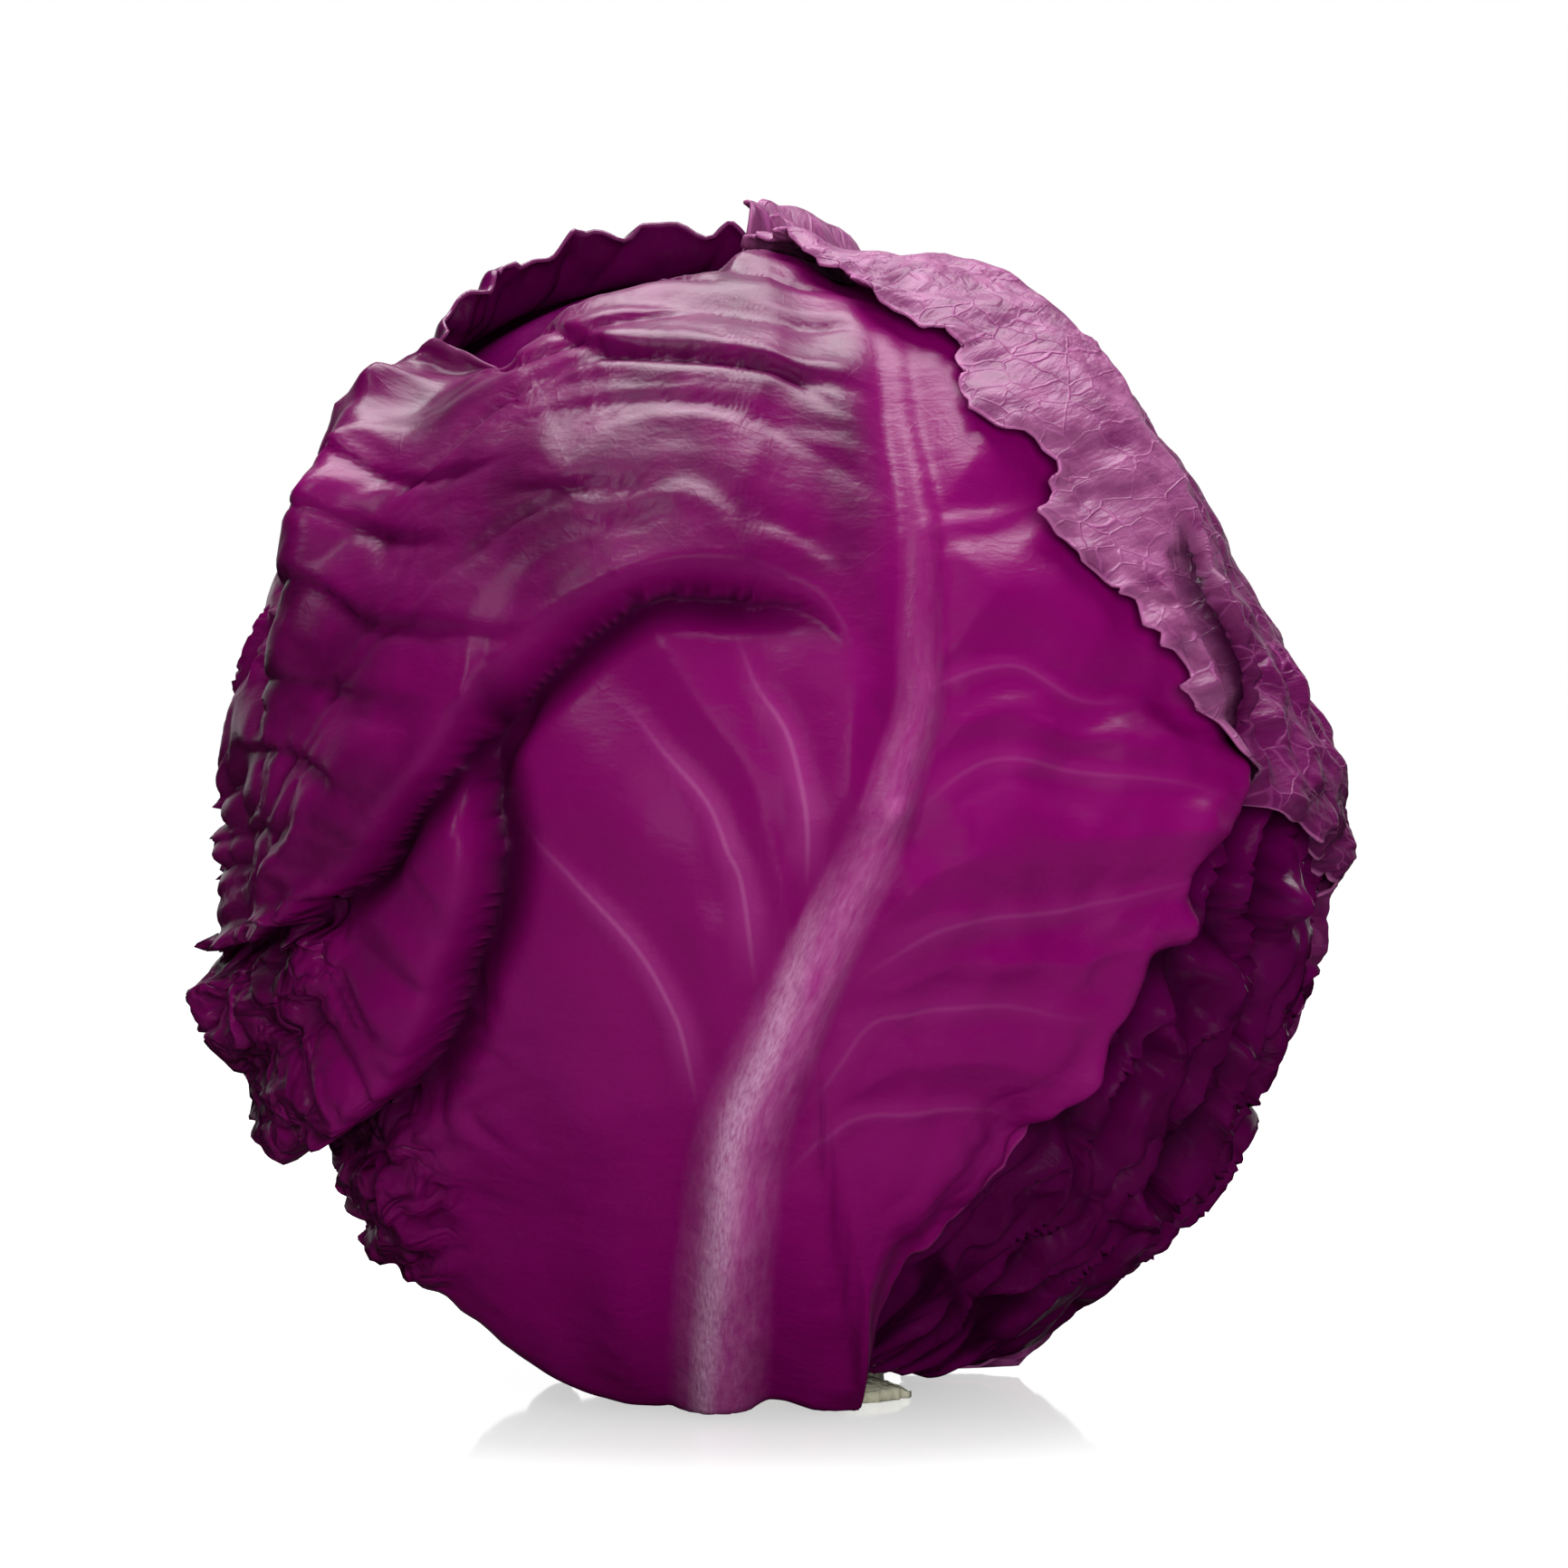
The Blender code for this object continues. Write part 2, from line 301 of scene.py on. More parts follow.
def blurred(grid, rounds):
    for _ in range(rounds):
        padded = np.pad(grid, 1, mode="edge")
        grid = 0.5 * grid + 0.125 * (
            padded[:-2, 1:-1] + padded[2:, 1:-1] + padded[1:-1, :-2] + padded[1:-1, 2:]
        )
    return grid


# %% [markdown]
# ## From chart to leaf
# `spread` starts a leaf: a flat grid, bent from a square to the leaf's outline. The margin gets
# the small teeth and tears of a real leaf. `grow` then turns the shaped chart into the leaf's
# mesh: a sheet half a millimetre thick with both faces.

# %% Spreading and growing a leaf
BASE_CAP = 15.0          # leaves stop this many degrees from straight down, clear of the stem
MIN_HEIGHT = 0.4         # mm that every leaf stays above the surface
STUBS = [(38, 3.7), (-100, 3.4), (152, 3.4)]   # azimuth, and height that the leaves leave free


def spread(axes, outline, cells, teeth=(0.7, 4.0), tears=(2.0, 17.0), seed=1, focus=(0, 0)):
    """A leaf's chart as a grid. Teeth and tears are (depth, spacing) in mm.

    A focus above 0 makes the cells finer towards the left, or towards the bottom.
    """
    side = cells + 1
    steps = np.linspace(-1, 1, side)
    u, v = np.meshgrid(*(steps - f * (1 - steps**2) for f in focus))
    x, y = u * np.sqrt(1 - v * v / 2), v * np.sqrt(1 - u * u / 2)
    share = np.hypot(x, y)
    bearing = np.degrees(np.arctan2(x, y)) % 360
    reach = outline_reach(axes, outline, teeth, tears, seed)
    distance = share * np.interp(bearing, np.arange(361), reach)
    sheet = {
        "axes": axes, "cells": cells, "focus": focus, "reach": reach, "bearing": bearing,
        "a": distance * np.sin(np.radians(bearing)), "b": distance * np.cos(np.radians(bearing)),
    }
    sheet["edge"] = np.interp(bearing, np.arange(361), reach) - distance
    sheet["relief"] = np.zeros((side, side))
    sheet["vein_side"] = np.full((side, side), 1e3)     # signed mm to the nearest vein
    sheet["drift_a"], sheet["drift_b"] = np.zeros((side, side)), np.zeros((side, side))
    sheet["direction"] = direction_at(axes, sheet["a"], sheet["b"])
    return sheet


def outline_reach(axes, outline, teeth, tears, seed):
    """The margin's distance from the leaf's middle at each whole degree of bearing."""
    outline = sorted(outline)
    bearings = np.array([b for b, _ in outline], float)
    reaches = np.array([r for _, r in outline], float)
    at = np.arange(361.0)
    reach = np.interp(
        at, np.concatenate([bearings[-3:] - 360, bearings, bearings[:3] + 360]),
        np.concatenate([reaches[-3:], reaches, reaches[:3]]),
    )
    ring = np.concatenate([reach[:-1], reach[:-1], reach[:-1]])
    kernel = np.array([1, 3, 5, 3, 1]) / 13
    reach = np.convolve(ring, kernel, "same")[360:721]
    run = np.radians(at) * reach
    run[-1] = run[0]
    for depth, spacing in (teeth, tears):
        wave = noise(run / spacing, np.zeros(361) + 0.37, seed)
        reach = reach - depth * np.abs(wave) * 1.5
        seed += 7
    reach[-1] = reach[0]
    # cut short where it would run into the stem
    for i in range(361):
        distance = np.arange(30.0, reach[i], 0.5)
        bearing = math.radians(i)
        down = direction_at(axes, distance * math.sin(bearing), distance * math.cos(bearing))
        blocked = np.nonzero(down[:, 2] < -math.cos(math.radians(BASE_CAP)))[0]
        if len(blocked):
            reach[i] = distance[blocked[0]]
    return reach


def settle(sheet, lift, hug=22.0, thickness=0.5, slack=12):
    """Lays the shaped chart on the layers: taut, lifted off them, and down on them at its margin."""
    floor = reach_of_layers(sheet["direction"])
    wide = np.pad(floor, 1, mode="edge")
    floor = np.max([wide[i:i + floor.shape[0], j:j + floor.shape[1]]
                    for i in range(3) for j in range(3)], axis=0)
    taut = floor.copy()
    for _ in range(slack):
        taut = np.maximum(floor, blurred(taut, 3))
    margin = smoothstep(0, hug, sheet["edge"])
    radius = blurred(taut, 4) + thickness + 0.3 + lift * margin + sheet["relief"]
    lowest = floor + thickness + 0.25
    # meets the lowest place softly, so that a crease has no sharp floor
    gap = radius - lowest
    radius = lowest + np.where(gap > 1.0, gap, np.where(gap > -1.0, (gap + 1) ** 2 / 4, 0.0))
    sheet["radius"] = radius
    # where the sheet lies below its surroundings; grow paints shade there
    sheet["cavity"] = smoothstep(0.25, 1.8, blurred(radius, 30) - radius)
    raise_layers(sheet, radius)


def raise_layers(sheet, radius):
    """Raises the map of the layers to a leaf's outer face."""
    across, along = chart_of(sheet["axes"], map_direction)
    bearing = np.degrees(np.arctan2(across, along)) % 360
    reach = np.interp(bearing, np.arange(361), sheet["reach"])
    share = np.hypot(across, along) / reach
    inside = share < 1.0
    x = (share * np.sin(np.radians(bearing)))[inside]
    y = (share * np.cos(np.radians(bearing)))[inside]
    k = 2 * math.sqrt(2)
    u = 0.5 * (np.sqrt(np.maximum(2 + x * x - y * y + k * x, 0))
               - np.sqrt(np.maximum(2 + x * x - y * y - k * x, 0)))
    v = 0.5 * (np.sqrt(np.maximum(2 - x * x + y * y + k * y, 0))
               - np.sqrt(np.maximum(2 - x * x + y * y - k * y, 0)))
    cells = sheet["cells"]
    u, v = (w if f == 0 else (np.sqrt(1 + 4 * f * (w + f)) - 1) / (2 * f)
            for w, f in zip((u, v), sheet["focus"]))
    out = bilinear(radius, (v + 1) / 2 * cells, (u + 1) / 2 * cells)
    layers[inside] = np.maximum(layers[inside], out)


def lowest_place(place):
    """How low a leaf may reach: just over the table, and over the pale stubs by the stem."""
    azimuth = np.degrees(np.arctan2(place[..., 0], -place[..., 1]))
    near_stem = smoothstep(31, 28, np.hypot(place[..., 0], place[..., 1]))
    over_stub = np.zeros(azimuth.shape)
    for stub, height in STUBS:
        away = np.abs((azimuth - stub + 180) % 360 - 180)
        over_stub = np.maximum(over_stub, height * smoothstep(26, 15, away))
    return MIN_HEIGHT + near_stem * over_stub


def grow(name, sheet, material, node, masks=None, thickness=0.5):
    """Makes the leaf's mesh from its shaped and settled chart."""
    cells = sheet["cells"]
    a = sheet["a"] + sheet["drift_a"]
    b = sheet["b"] + sheet["drift_b"]
    place = CENTRE + direction_at(sheet["axes"], a, b) * sheet["radius"][..., None]
    place[..., 2] = np.maximum(place[..., 2], lowest_place(place) + thickness)
    bpy.ops.object.select_all(action="DESELECT")
    bpy.ops.mesh.primitive_grid_add(x_subdivisions=cells, y_subdivisions=cells, size=2)
    leaf = bpy.context.active_object
    leaf.name = leaf.data.name = name
    flat = np.zeros(len(leaf.data.vertices) * 3)
    leaf.data.vertices.foreach_get("co", flat)
    flat = flat.reshape(-1, 3)
    column = np.rint((flat[:, 0] + 1) / 2 * cells).astype(int)
    row = np.rint((flat[:, 1] + 1) / 2 * cells).astype(int)
    leaf.data.vertices.foreach_set("co", (place[row, column] / 1000).ravel())
    corner_vertex = np.zeros(len(leaf.data.loops), int)
    leaf.data.loops.foreach_get("vertex_index", corner_vertex)
    uv = np.stack([sheet["a"], sheet["b"]], axis=-1)[row, column][corner_vertex] / 100
    leaf.data.uv_layers.active.data.foreach_set("uv", uv.ravel())
    fields = {"from_margin": sheet["edge"], "vein_side": sheet["vein_side"],
              "rib_across": np.zeros_like(a), "rib_along": np.zeros_like(a), **(masks or {})}
    # painted shade in the leaf's concave places, added to its deep mask
    fields["deep"] = np.maximum(fields["deep"], 0.5 * sheet["cavity"])
    for field, values in fields.items():
        attribute = leaf.data.attributes.new(field, "FLOAT", "POINT")
        attribute.data.foreach_set("value", values[row, column].astype(np.float32))
    leaf.data.shade_smooth()
    solid = leaf.modifiers.new("leaf thickness", "SOLIDIFY")
    solid.thickness = thickness / 1000
    solid.offset = -1.0
    bpy.ops.object.modifier_apply(modifier=solid.name)
    leaf.data.materials.append(material)
    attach(leaf, "root")
    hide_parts(node)
    print(f"{name}: {len(leaf.data.polygons)} faces")


# %% [markdown]
# ## Materials
# The purple of the blade, the paler pink of the veins and the speckled, almost white stripe on
# the thick midrib come from masks that each leaf carries. A satin, waxy skin lies over all.

# %% Node helpers
def add(tree, kind, sockets=None, **fields):
    """Adds a node, sets its fields, and fills its sockets, given by name or number."""
    node = tree.nodes.new(kind)
    for field, value in fields.items():
        setattr(node, field, value)
    for socket, value in (sockets or {}).items():
        if isinstance(value, bpy.types.NodeSocket):
            tree.links.new(value, node.inputs[socket])
        else:
            node.inputs[socket].default_value = value
    return node


def maths(tree, operation, *values):
    return add(tree, "ShaderNodeMath", dict(enumerate(values)), operation=operation).outputs[0]


def times(tree, first, second):
    return maths(tree, "MULTIPLY", first, second)


def stretched(tree, value, low, high, start, end):
    """A value between low and high, carried to between start and end."""
    return add(tree, "ShaderNodeMapRange", {
        "Value": value, "From Min": low, "From Max": high, "To Min": start, "To Max": end,
    }).outputs[0]


def grainy(tree, vector, scale, detail, roughness=0.5, distortion=0.0):
    """A noise texture's grey value."""
    return add(tree, "ShaderNodeTexNoise", {
        "Vector": vector, "Scale": scale, "Detail": detail, "Roughness": roughness,
        "Distortion": distortion,
    }).outputs[0]


def blend_colour(tree, share, first, second):
    """Mixes two colours, each given as red, green and blue or as a socket."""
    first, second = ((*c, 1.0) if isinstance(c, tuple) else c for c in (first, second))
    return add(tree, "ShaderNodeMix", {0: share, 6: first, 7: second},
               data_type="RGBA").outputs[2]


# %% [markdown]
# Two patterns serve every skin here, so each is a node group: the net of fine veins between the
# side veins, and a soft mottling in any size. They are built once and used with each skin's
# own values.

# %% Shared patterns
def new_group(name, inputs, output):
    tree = bpy.data.node_groups.new(name, "ShaderNodeTree")
    for socket, kind, value in inputs:
        made = tree.interface.new_socket(socket, in_out="INPUT", socket_type=kind)
        if value is not None:
            made.default_value = value
    tree.interface.new_socket(output, in_out="OUTPUT", socket_type="NodeSocketFloat")
    return tree, tree.nodes.new("NodeGroupInput").outputs, tree.nodes.new("NodeGroupOutput").inputs


def vein_net_group():
    """A net of fine veins: 1 on the veins, 0 between them."""
    tree, given, result = new_group("Vein net", [
        ("Vector", "NodeSocketVector", None), ("Cells per unit", "NodeSocketFloat", 20.0),
        ("Vein width", "NodeSocketFloat", 0.06),
    ], "Veins")
    wander = add(tree, "ShaderNodeTexNoise", {"Vector": given["Vector"], "Scale": 14.0,
                                              "Detail": 2.0})
    offset = add(tree, "ShaderNodeVectorMath", {0: wander.outputs["Color"], 1: (0.5, 0.5, 0.5)},
                 operation="SUBTRACT")
    bent = add(tree, "ShaderNodeVectorMath", {
        0: offset.outputs[0], 1: (0.035, 0.035, 0.035), 2: given["Vector"],
    }, operation="MULTIPLY_ADD")
    cells = add(tree, "ShaderNodeTexVoronoi", {
        "Vector": bent.outputs[0], "Scale": given["Cells per unit"],
    }, feature="DISTANCE_TO_EDGE")
    line = add(tree, "ShaderNodeMapRange", {
        "Value": cells.outputs["Distance"], "From Min": 0.0, "From Max": given["Vein width"],
        "To Min": 1.0, "To Max": 0.0,
    }, interpolation_type="SMOOTHSTEP")
    tree.links.new(line.outputs[0], result["Veins"])
    return tree


def mottling_group():
    """Soft blotches with finer ones inside, from 0 to 1."""
    tree, given, result = new_group("Mottling", [
        ("Vector", "NodeSocketVector", None), ("Scale", "NodeSocketFloat", 30.0),
        ("Contrast", "NodeSocketFloat", 0.5),
    ], "Value")
    blotch = grainy(tree, given["Vector"], given["Scale"], 5.0, 0.6)
    low = maths(tree, "SUBTRACT", 0.5, given["Contrast"])
    high = maths(tree, "ADD", 0.5, given["Contrast"])
    tree.links.new(stretched(tree, blotch, low, high, 0.0, 1.0), result["Value"])
    return tree


VEIN_NET, MOTTLING = vein_net_group(), mottling_group()


def mottled(tree, vector, scale, contrast):
    return add(tree, "ShaderNodeGroup", {
        "Vector": vector, "Scale": scale, "Contrast": contrast,
    }, node_tree=MOTTLING).outputs[0]


print("patterns:", ", ".join(group.name for group in (VEIN_NET, MOTTLING)))

# %% [markdown]
# A leaf's colour could be painted on by hand, but then it would not follow a rib that is moved
# later. So the skin reads the masks that every leaf carries: where its midrib, its side veins,
# its hollows and its margin are, and where shade is painted into its folds. The chart itself is
# the leaf's UV map.

# %% Midrib, bumps and skin of a leaf
# on the crest of a side vein this pale line is partly the vein's own colour and partly a painted
# highlight
PALE_LINE = (0.50, 0.14, 0.36)          # along the crest of a vein and the edge of a margin
DUST = (0.50, 0.17, 0.37)
WHITISH_STRIPE = (0.62, 0.33, 0.52)
# painted shade: the near black that is painted into creases, folds and hollows
PAINTED_SHADE = (0.02, 0.0001, 0.013)


def mask(tree, field):
    """One of the values that a leaf carries at its points."""
    return add(tree, "ShaderNodeAttribute", attribute_name=field).outputs["Fac"]


def near(tree, signed, inside, outside):
    """1 within a distance of zero, falling to 0 at another one."""
    return stretched(tree, maths(tree, "ABSOLUTE", signed), inside, outside, 1.0, 0.0)


def midrib_over(tree, colour, vein):
    """A skin streaked along the midrib, and a whitish stripe broken into speckles."""
    along_rib = add(tree, "ShaderNodeCombineXYZ", {
        0: mask(tree, "rib_across"), 1: times(tree, mask(tree, "rib_along"), 0.28),
    }).outputs[0]
    streaked = blend_colour(tree, mottled(tree, along_rib, 0.9, 0.22), vein, PALE_LINE)
    speckles = mottled(tree, along_rib, 2.6, 0.16)
    rib = times(tree, mask(tree, "rib"), stretched(tree, speckles, 0.0, 1.0, 0.65, 1.0))
    stripe = times(tree, mask(tree, "stripe"), stretched(tree, speckles, 0.0, 1.0, 0.25, 1.0))
    colour = blend_colour(tree, rib, colour, streaked)
    return blend_colour(tree, stripe, colour, WHITISH_STRIPE)


def leaf_bump(tree, chart, net, net_bump, wrinkle, from_crease):
    """Fine veins, wrinkles that lie across the leaf, crumpled folds and a fine grain."""
    squeezed = add(tree, "ShaderNodeMapping", {"Vector": chart, "Scale": (0.45, 1.0, 1.0)})
    wrinkles = grainy(tree, squeezed.outputs[0], 26.0, 4.0, 0.55)
    crumpled = times(tree, maths(tree, "ABSOLUTE", from_crease), mask(tree, "crumple"))
    place = tree.nodes.new("ShaderNodeTexCoord").outputs["Object"]
    grain = grainy(tree, place, 900.0, 4.0, 0.65)
    height = maths(tree, "MULTIPLY_ADD", net, net_bump, times(tree, wrinkles, wrinkle))
    height = maths(tree, "MULTIPLY_ADD", crumpled, 7.0, height)
    height = maths(tree, "MULTIPLY_ADD", grain, 0.05, height)
    return add(tree, "ShaderNodeBump", {
        "Height": height, "Distance": 0.001, "Strength": 0.8,
    }).outputs[0]


def leaf_material(name, deep, bright, vein, roughness=0.34, net=0.03, net_cells=26.0,
                  net_width=0.07, net_bump=0.02, wrinkle=0.3, dust=0.0, margin=0.15):
    """Purple leaf skin. deep and bright are the blade's two tones, vein the midrib's."""
    material = bpy.data.materials.new(name)
    material.use_nodes = True
    tree = material.node_tree
    skin = tree.nodes["Principled BSDF"]
    skin.inputs["Roughness"].default_value = roughness
    skin.inputs["IOR"].default_value = 1.38
    chart = tree.nodes.new("ShaderNodeUVMap").outputs[0]

    # the blade, with a net of fine veins that comes and goes, and a film of dust
    colour = blend_colour(tree, mottled(tree, chart, 3.5, 0.22), deep, bright)
    colour = blend_colour(tree, mask(tree, "pale"), colour, bright)
    fine = add(tree, "ShaderNodeGroup", {
        "Vector": chart, "Cells per unit": net_cells, "Vein width": net_width,
    }, node_tree=VEIN_NET).outputs[0]
    fine = times(tree, fine, mottled(tree, chart, 9.0, 0.2))
    colour = blend_colour(tree, times(tree, fine, net), colour, vein)
    if dust:
        film = times(tree, mottled(tree, chart, 16.0, 0.3), mask(tree, "dusty"))
        colour = blend_colour(tree, times(tree, film, dust), colour, DUST)

    # the side veins with a thin pale line along each crest, partly the vein's own pale colour and partly
    # a painted highlight, the midrib, and the margin's edge
    colour = blend_colour(tree, times(tree, mask(tree, "vein"), 0.5), colour, vein)
    crest = times(tree, near(tree, mask(tree, "vein_side"), 0.1, 0.5), mask(tree, "vein"))
    colour = blend_colour(tree, times(tree, crest, 0.3), colour, PALE_LINE)
    colour = midrib_over(tree, colour, vein)
    edge = near(tree, mask(tree, "from_margin"), 0.15, 0.7)
    colour = blend_colour(tree, times(tree, edge, margin), colour, PALE_LINE)

    # crumpled parts are folded again, finer, with painted shade in their creases; the deep mask gets
    # painted shade as well
    from_crease = maths(tree, "SUBTRACT", grainy(tree, chart, 15.0, 2.5, 0.5, 0.5), 0.5)
    creased = times(tree, near(tree, from_crease, 0.0, 0.05), mask(tree, "crumple"))
    for painted_shade_share in (times(tree, creased, 0.6), times(tree, mask(tree, "deep"), 0.9)):
        colour = blend_colour(tree, painted_shade_share, colour, PAINTED_SHADE)

    satin = stretched(tree, mottled(tree, chart, 12.0, 0.35), 0.0, 1.0,
                      roughness - 0.05, roughness + 0.08)
    bump = leaf_bump(tree, chart, fine, net_bump, wrinkle, from_crease)
    for socket, value in (("Base Color", colour), ("Roughness", satin), ("Normal", bump)):
        tree.links.new(value, skin.inputs[socket])
    return material


# %% The leaf skins of this head
OUTER = leaf_material("outer leaf", (0.046, 0.0001, 0.025), (0.215, 0.0003, 0.118),
                      (0.37, 0.03, 0.23))
SHOULDER = leaf_material("dry shoulder leaf", (0.075, 0.0006, 0.046), (0.16, 0.003, 0.097),
                         (0.33, 0.05, 0.23), roughness=0.42, net=0.8, net_cells=20.0,
                         net_width=0.05, net_bump=0.25, wrinkle=0.9, dust=0.7, margin=0.6)
UNDER = leaf_material("under leaf", (0.06, 0.0002, 0.036), (0.13, 0.0004, 0.078),
                      (0.16, 0.006, 0.10), roughness=0.22)
INNER = leaf_material("inner leaf", (0.06, 0.0003, 0.038), (0.10, 0.0006, 0.064),
                      (0.16, 0.008, 0.105))
print("leaf skins:", ", ".join(skin.name for skin in (OUTER, SHOULDER, UNDER, INNER)))

# %% [markdown]
# ## The heart and the inner leaves
# A ball of a few dozen tight leaves. Only its outermost ones ever show, in the gaps between
# the outer leaves, so it is one ball under three plain leaves. Modelling every leaf down to the
# core would cost many faces that nobody sees.

# %% Heart and inner leaves
def blank_masks(sheet, **given):
    zero = np.zeros(sheet["a"].shape)
    return {"rib": zero, "stripe": zero, "vein": zero, "pale": zero, "deep": zero,
            "crumple": zero, "dusty": zero, **given}


def veined(sheet, rib, rib_height, rib_width, pairs, height=0.6, width=1.5, reach=0.86, seed=5):
    """A midrib and pairs of side veins that leave it in turn and curve towards the tip."""
    rib_mask = ridge(sheet, rib, rib_height, rib_width, taper=(0.0, 0.3), flat=0.15)
    vein_mask = np.zeros_like(rib_mask)
    rng = np.random.default_rng(seed)
    line = smooth_line(rib)
    for i in range(pairs):
        for side in (-1, 1):
            share = (i + 0.5 + 0.35 * (side > 0)) / (pairs + 1.2)
            root = line[int(share * (len(line) - 1))]
            bearing = math.radians(58 - 22 * share + rng.uniform(-6, 6))
            length = 100 * reach * (1 - 0.45 * share)
            route = [root]
            for k in range(1, 6):
                route.append(route[-1] + length / 5 * np.array(
                    [side * math.sin(bearing), math.cos(bearing)]))
                bearing -= math.radians(5 + rng.uniform(-4, 4))
            vein_mask = np.maximum(vein_mask, ridge(
                sheet, route, [height, height * 0.4], [width * 1.5, width * 0.6], (0.0, 0.5)))
    return rib_mask, vein_mask


STRAIGHT_RIB = [(0, -112), (0, -60), (2, -20), (-1, 30), (0, 85)]
COMMON_OUTLINE = [(0, 118), (30, 114), (60, 104), (90, 96), (120, 90), (150, 96), (180, 112),
                  (210, 96), (240, 90), (270, 96), (300, 104), (330, 114)]

bpy.ops.mesh.primitive_uv_sphere_add(segments=96, ring_count=64, radius=1.0)
heart = bpy.context.active_object
heart.name = heart.data.name = "heart_ball"
for vertex in heart.data.vertices:
    out = np.array(vertex.co)
    vertex.co = (CENTRE + out * float(heart_radius(out[None])[0])) / 1000
heart.data.shade_smooth()
heart.data.materials.append(INNER)
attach(heart, "root")
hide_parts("heart")

for number, azimuth in ((1, 120), (2, -20), (3, -140)):
    sheet = spread(axes_of(azimuth, 0), COMMON_OUTLINE, 64, seed=40 + number)
    rib, veins = veined(sheet, STRAIGHT_RIB, [1.2, 0.2], [6.0, 2.0], 4, seed=number)
    settle(sheet, 0.6)
    grow(f"inner_leaf_sheet_{number}", sheet, INNER, f"inner_leaf_{number}",
         blank_masks(sheet, rib=rib * 0.5, vein=veins * 0.5))

# %% [markdown]
# ## The outer leaves behind and beside
# Each follows its neighbour round the stem. Their faces show at the back and the sides; from
# the front only the crown leaf's free, toothed margin stands up behind the top. They could be
# copies of one leaf, but real neighbours differ, so each has its own puckers and outline.

# %% Left leaf
sheet = spread(axes_of(-72, 0), COMMON_OUTLINE, 150, seed=51)
rib, veins = veined(sheet, STRAIGHT_RIB, [2.4, 0.6], [8.0, 2.5], 5, height=0.8, width=2.0, seed=8)
sheet["relief"] += 1.6 * rumple(sheet["a"] / 15, sheet["b"] / 22, 52) * smoothstep(8, 40, np.abs(
    sheet["a"]))
settle(sheet, 1.2)
grow("left_leaf_sheet", sheet, UNDER, "left_leaf",
     blank_masks(sheet, rib=rib * 0.6, vein=veins))

# %% Crown leaf, whose margin flares up behind the top
crown_axes = axes_of(-118, 8)
CROWN_OUTLINE = [(0, 118), (5, 112), (8, 104), (12, 97), (21, 92), (33, 92), (42, 90), (60, 94),
                 (90, 94), (120, 90), (150, 96), (180, 112), (210, 96), (240, 90), (270, 96),
                 (300, 104), (330, 114)]
sheet = spread(crown_axes, CROWN_OUTLINE, 190, teeth=(1.8, 4.5), tears=(3.0, 15.0), seed=61)
rib, veins = veined(sheet, STRAIGHT_RIB, [2.0, 0.4], [7.0, 2.0], 5, seed=9)
turned_up = smoothstep(70, 40, np.abs((sheet["bearing"] - 22 + 180) % 360 - 180))
sheet["relief"] += 7.0 * np.exp(-(sheet["edge"] / 8) ** 2) * turned_up
sheet["relief"] += 2.5 * np.exp(-(sheet["edge"] / 12) ** 2) * noise(
    sheet["a"] / 6, sheet["b"] / 6, 63)
settle(sheet, 1.0)
grow("crown_leaf_sheet", sheet, UNDER, "crown_leaf",
     blank_masks(sheet, rib=rib * 0.6, vein=veins))

# %% [markdown]
# ## The crinkled leaf at the right
# This leaf grew in tight folds, like cloth gathered on a thread. A fold like that is a tube: its
# crest follows a line where a slow noise crosses zero, and leaning the noise along the leaf
# makes the tubes long. Sculpting them by hand would take days, and would look no less random.

# %% Right leaf, deeply crinkled
sheet = spread(axes_of(60, 0), [(0, 100), (40, 96), (90, 90), (130, 92), (165, 104), (195, 106),
                                (220, 104), (250, 96), (280, 86), (320, 90)],
               215, teeth=(1.2, 3.5), tears=(3.5, 14.0), seed=71, focus=(0.2, 0.22))
a, b = sheet["a"], sheet["b"]
low = smoothstep(38, 0, b)
outer = smoothstep(-45, -10, a)          # the part beyond the front leaf's margin
lean = noise(a / 26, b / 26, 72) * 9
twist = noise(a / 9, b / 9, 78) * 4
broad = np.sqrt(np.abs(noise((a + lean) / 19, (b + lean * 0.6) / 34, 73)) + 0.003)
tubes = np.exp(-(noise((a + lean + twist) / 9.5, (b + lean) / 32, 74) / 0.26) ** 2)
knots = rumple(a / 9, b / 9, 79)
foot = smoothstep(-108, -50, b)
sheet["relief"] += low * (0.1 + 0.9 * foot) * (0.15 + 0.85 * outer) * (
    4.0 * broad + 8.0 * tubes + 0.8 * knots - 1.0)
sheet["drift_a"] += low * 2.0 * noise(a / 7, b / 12, 75)
sheet["drift_b"] += low * 2.0 * noise(a / 7, b / 12, 76)
# painted shade in the creases between the tubes, and a painted shadow where the front leaf's margin
# overhangs this leaf
deep = low * np.maximum(smoothstep(0.75, 0.1, tubes), 0.45 * smoothstep(-12, -34, a))
_, veins = veined(sheet, STRAIGHT_RIB, [0.8, 0.3], [7.0, 2.0], 4, height=0.3, seed=10)
settle(sheet, 0.6, hug=12)
grow("right_leaf_sheet", sheet, UNDER, "right_leaf",
     blank_masks(sheet, vein=veins * 0.2 * (1 - low), deep=deep, crumple=0.05 * low))

# %% Back leaf, broad and plain, with a thick midrib
sheet = spread(axes_of(192, 0), COMMON_OUTLINE, 190, seed=81)
rib, veins = veined(sheet, STRAIGHT_RIB, [3.6, 1.0], [9.5, 3.0], 6, height=0.9, width=2.2, seed=11)
sheet["relief"] += 1.4 * rumple(sheet["a"] / 20, sheet["b"] / 26, 83) * smoothstep(6, 30, np.abs(
    sheet["a"]))
settle(sheet, 1.5)
grow("back_leaf_sheet", sheet, OUTER, "back_leaf",
     blank_masks(sheet, rib=rib * 0.8, vein=veins, stripe=rib * smoothstep(20, -80, sheet["b"])))

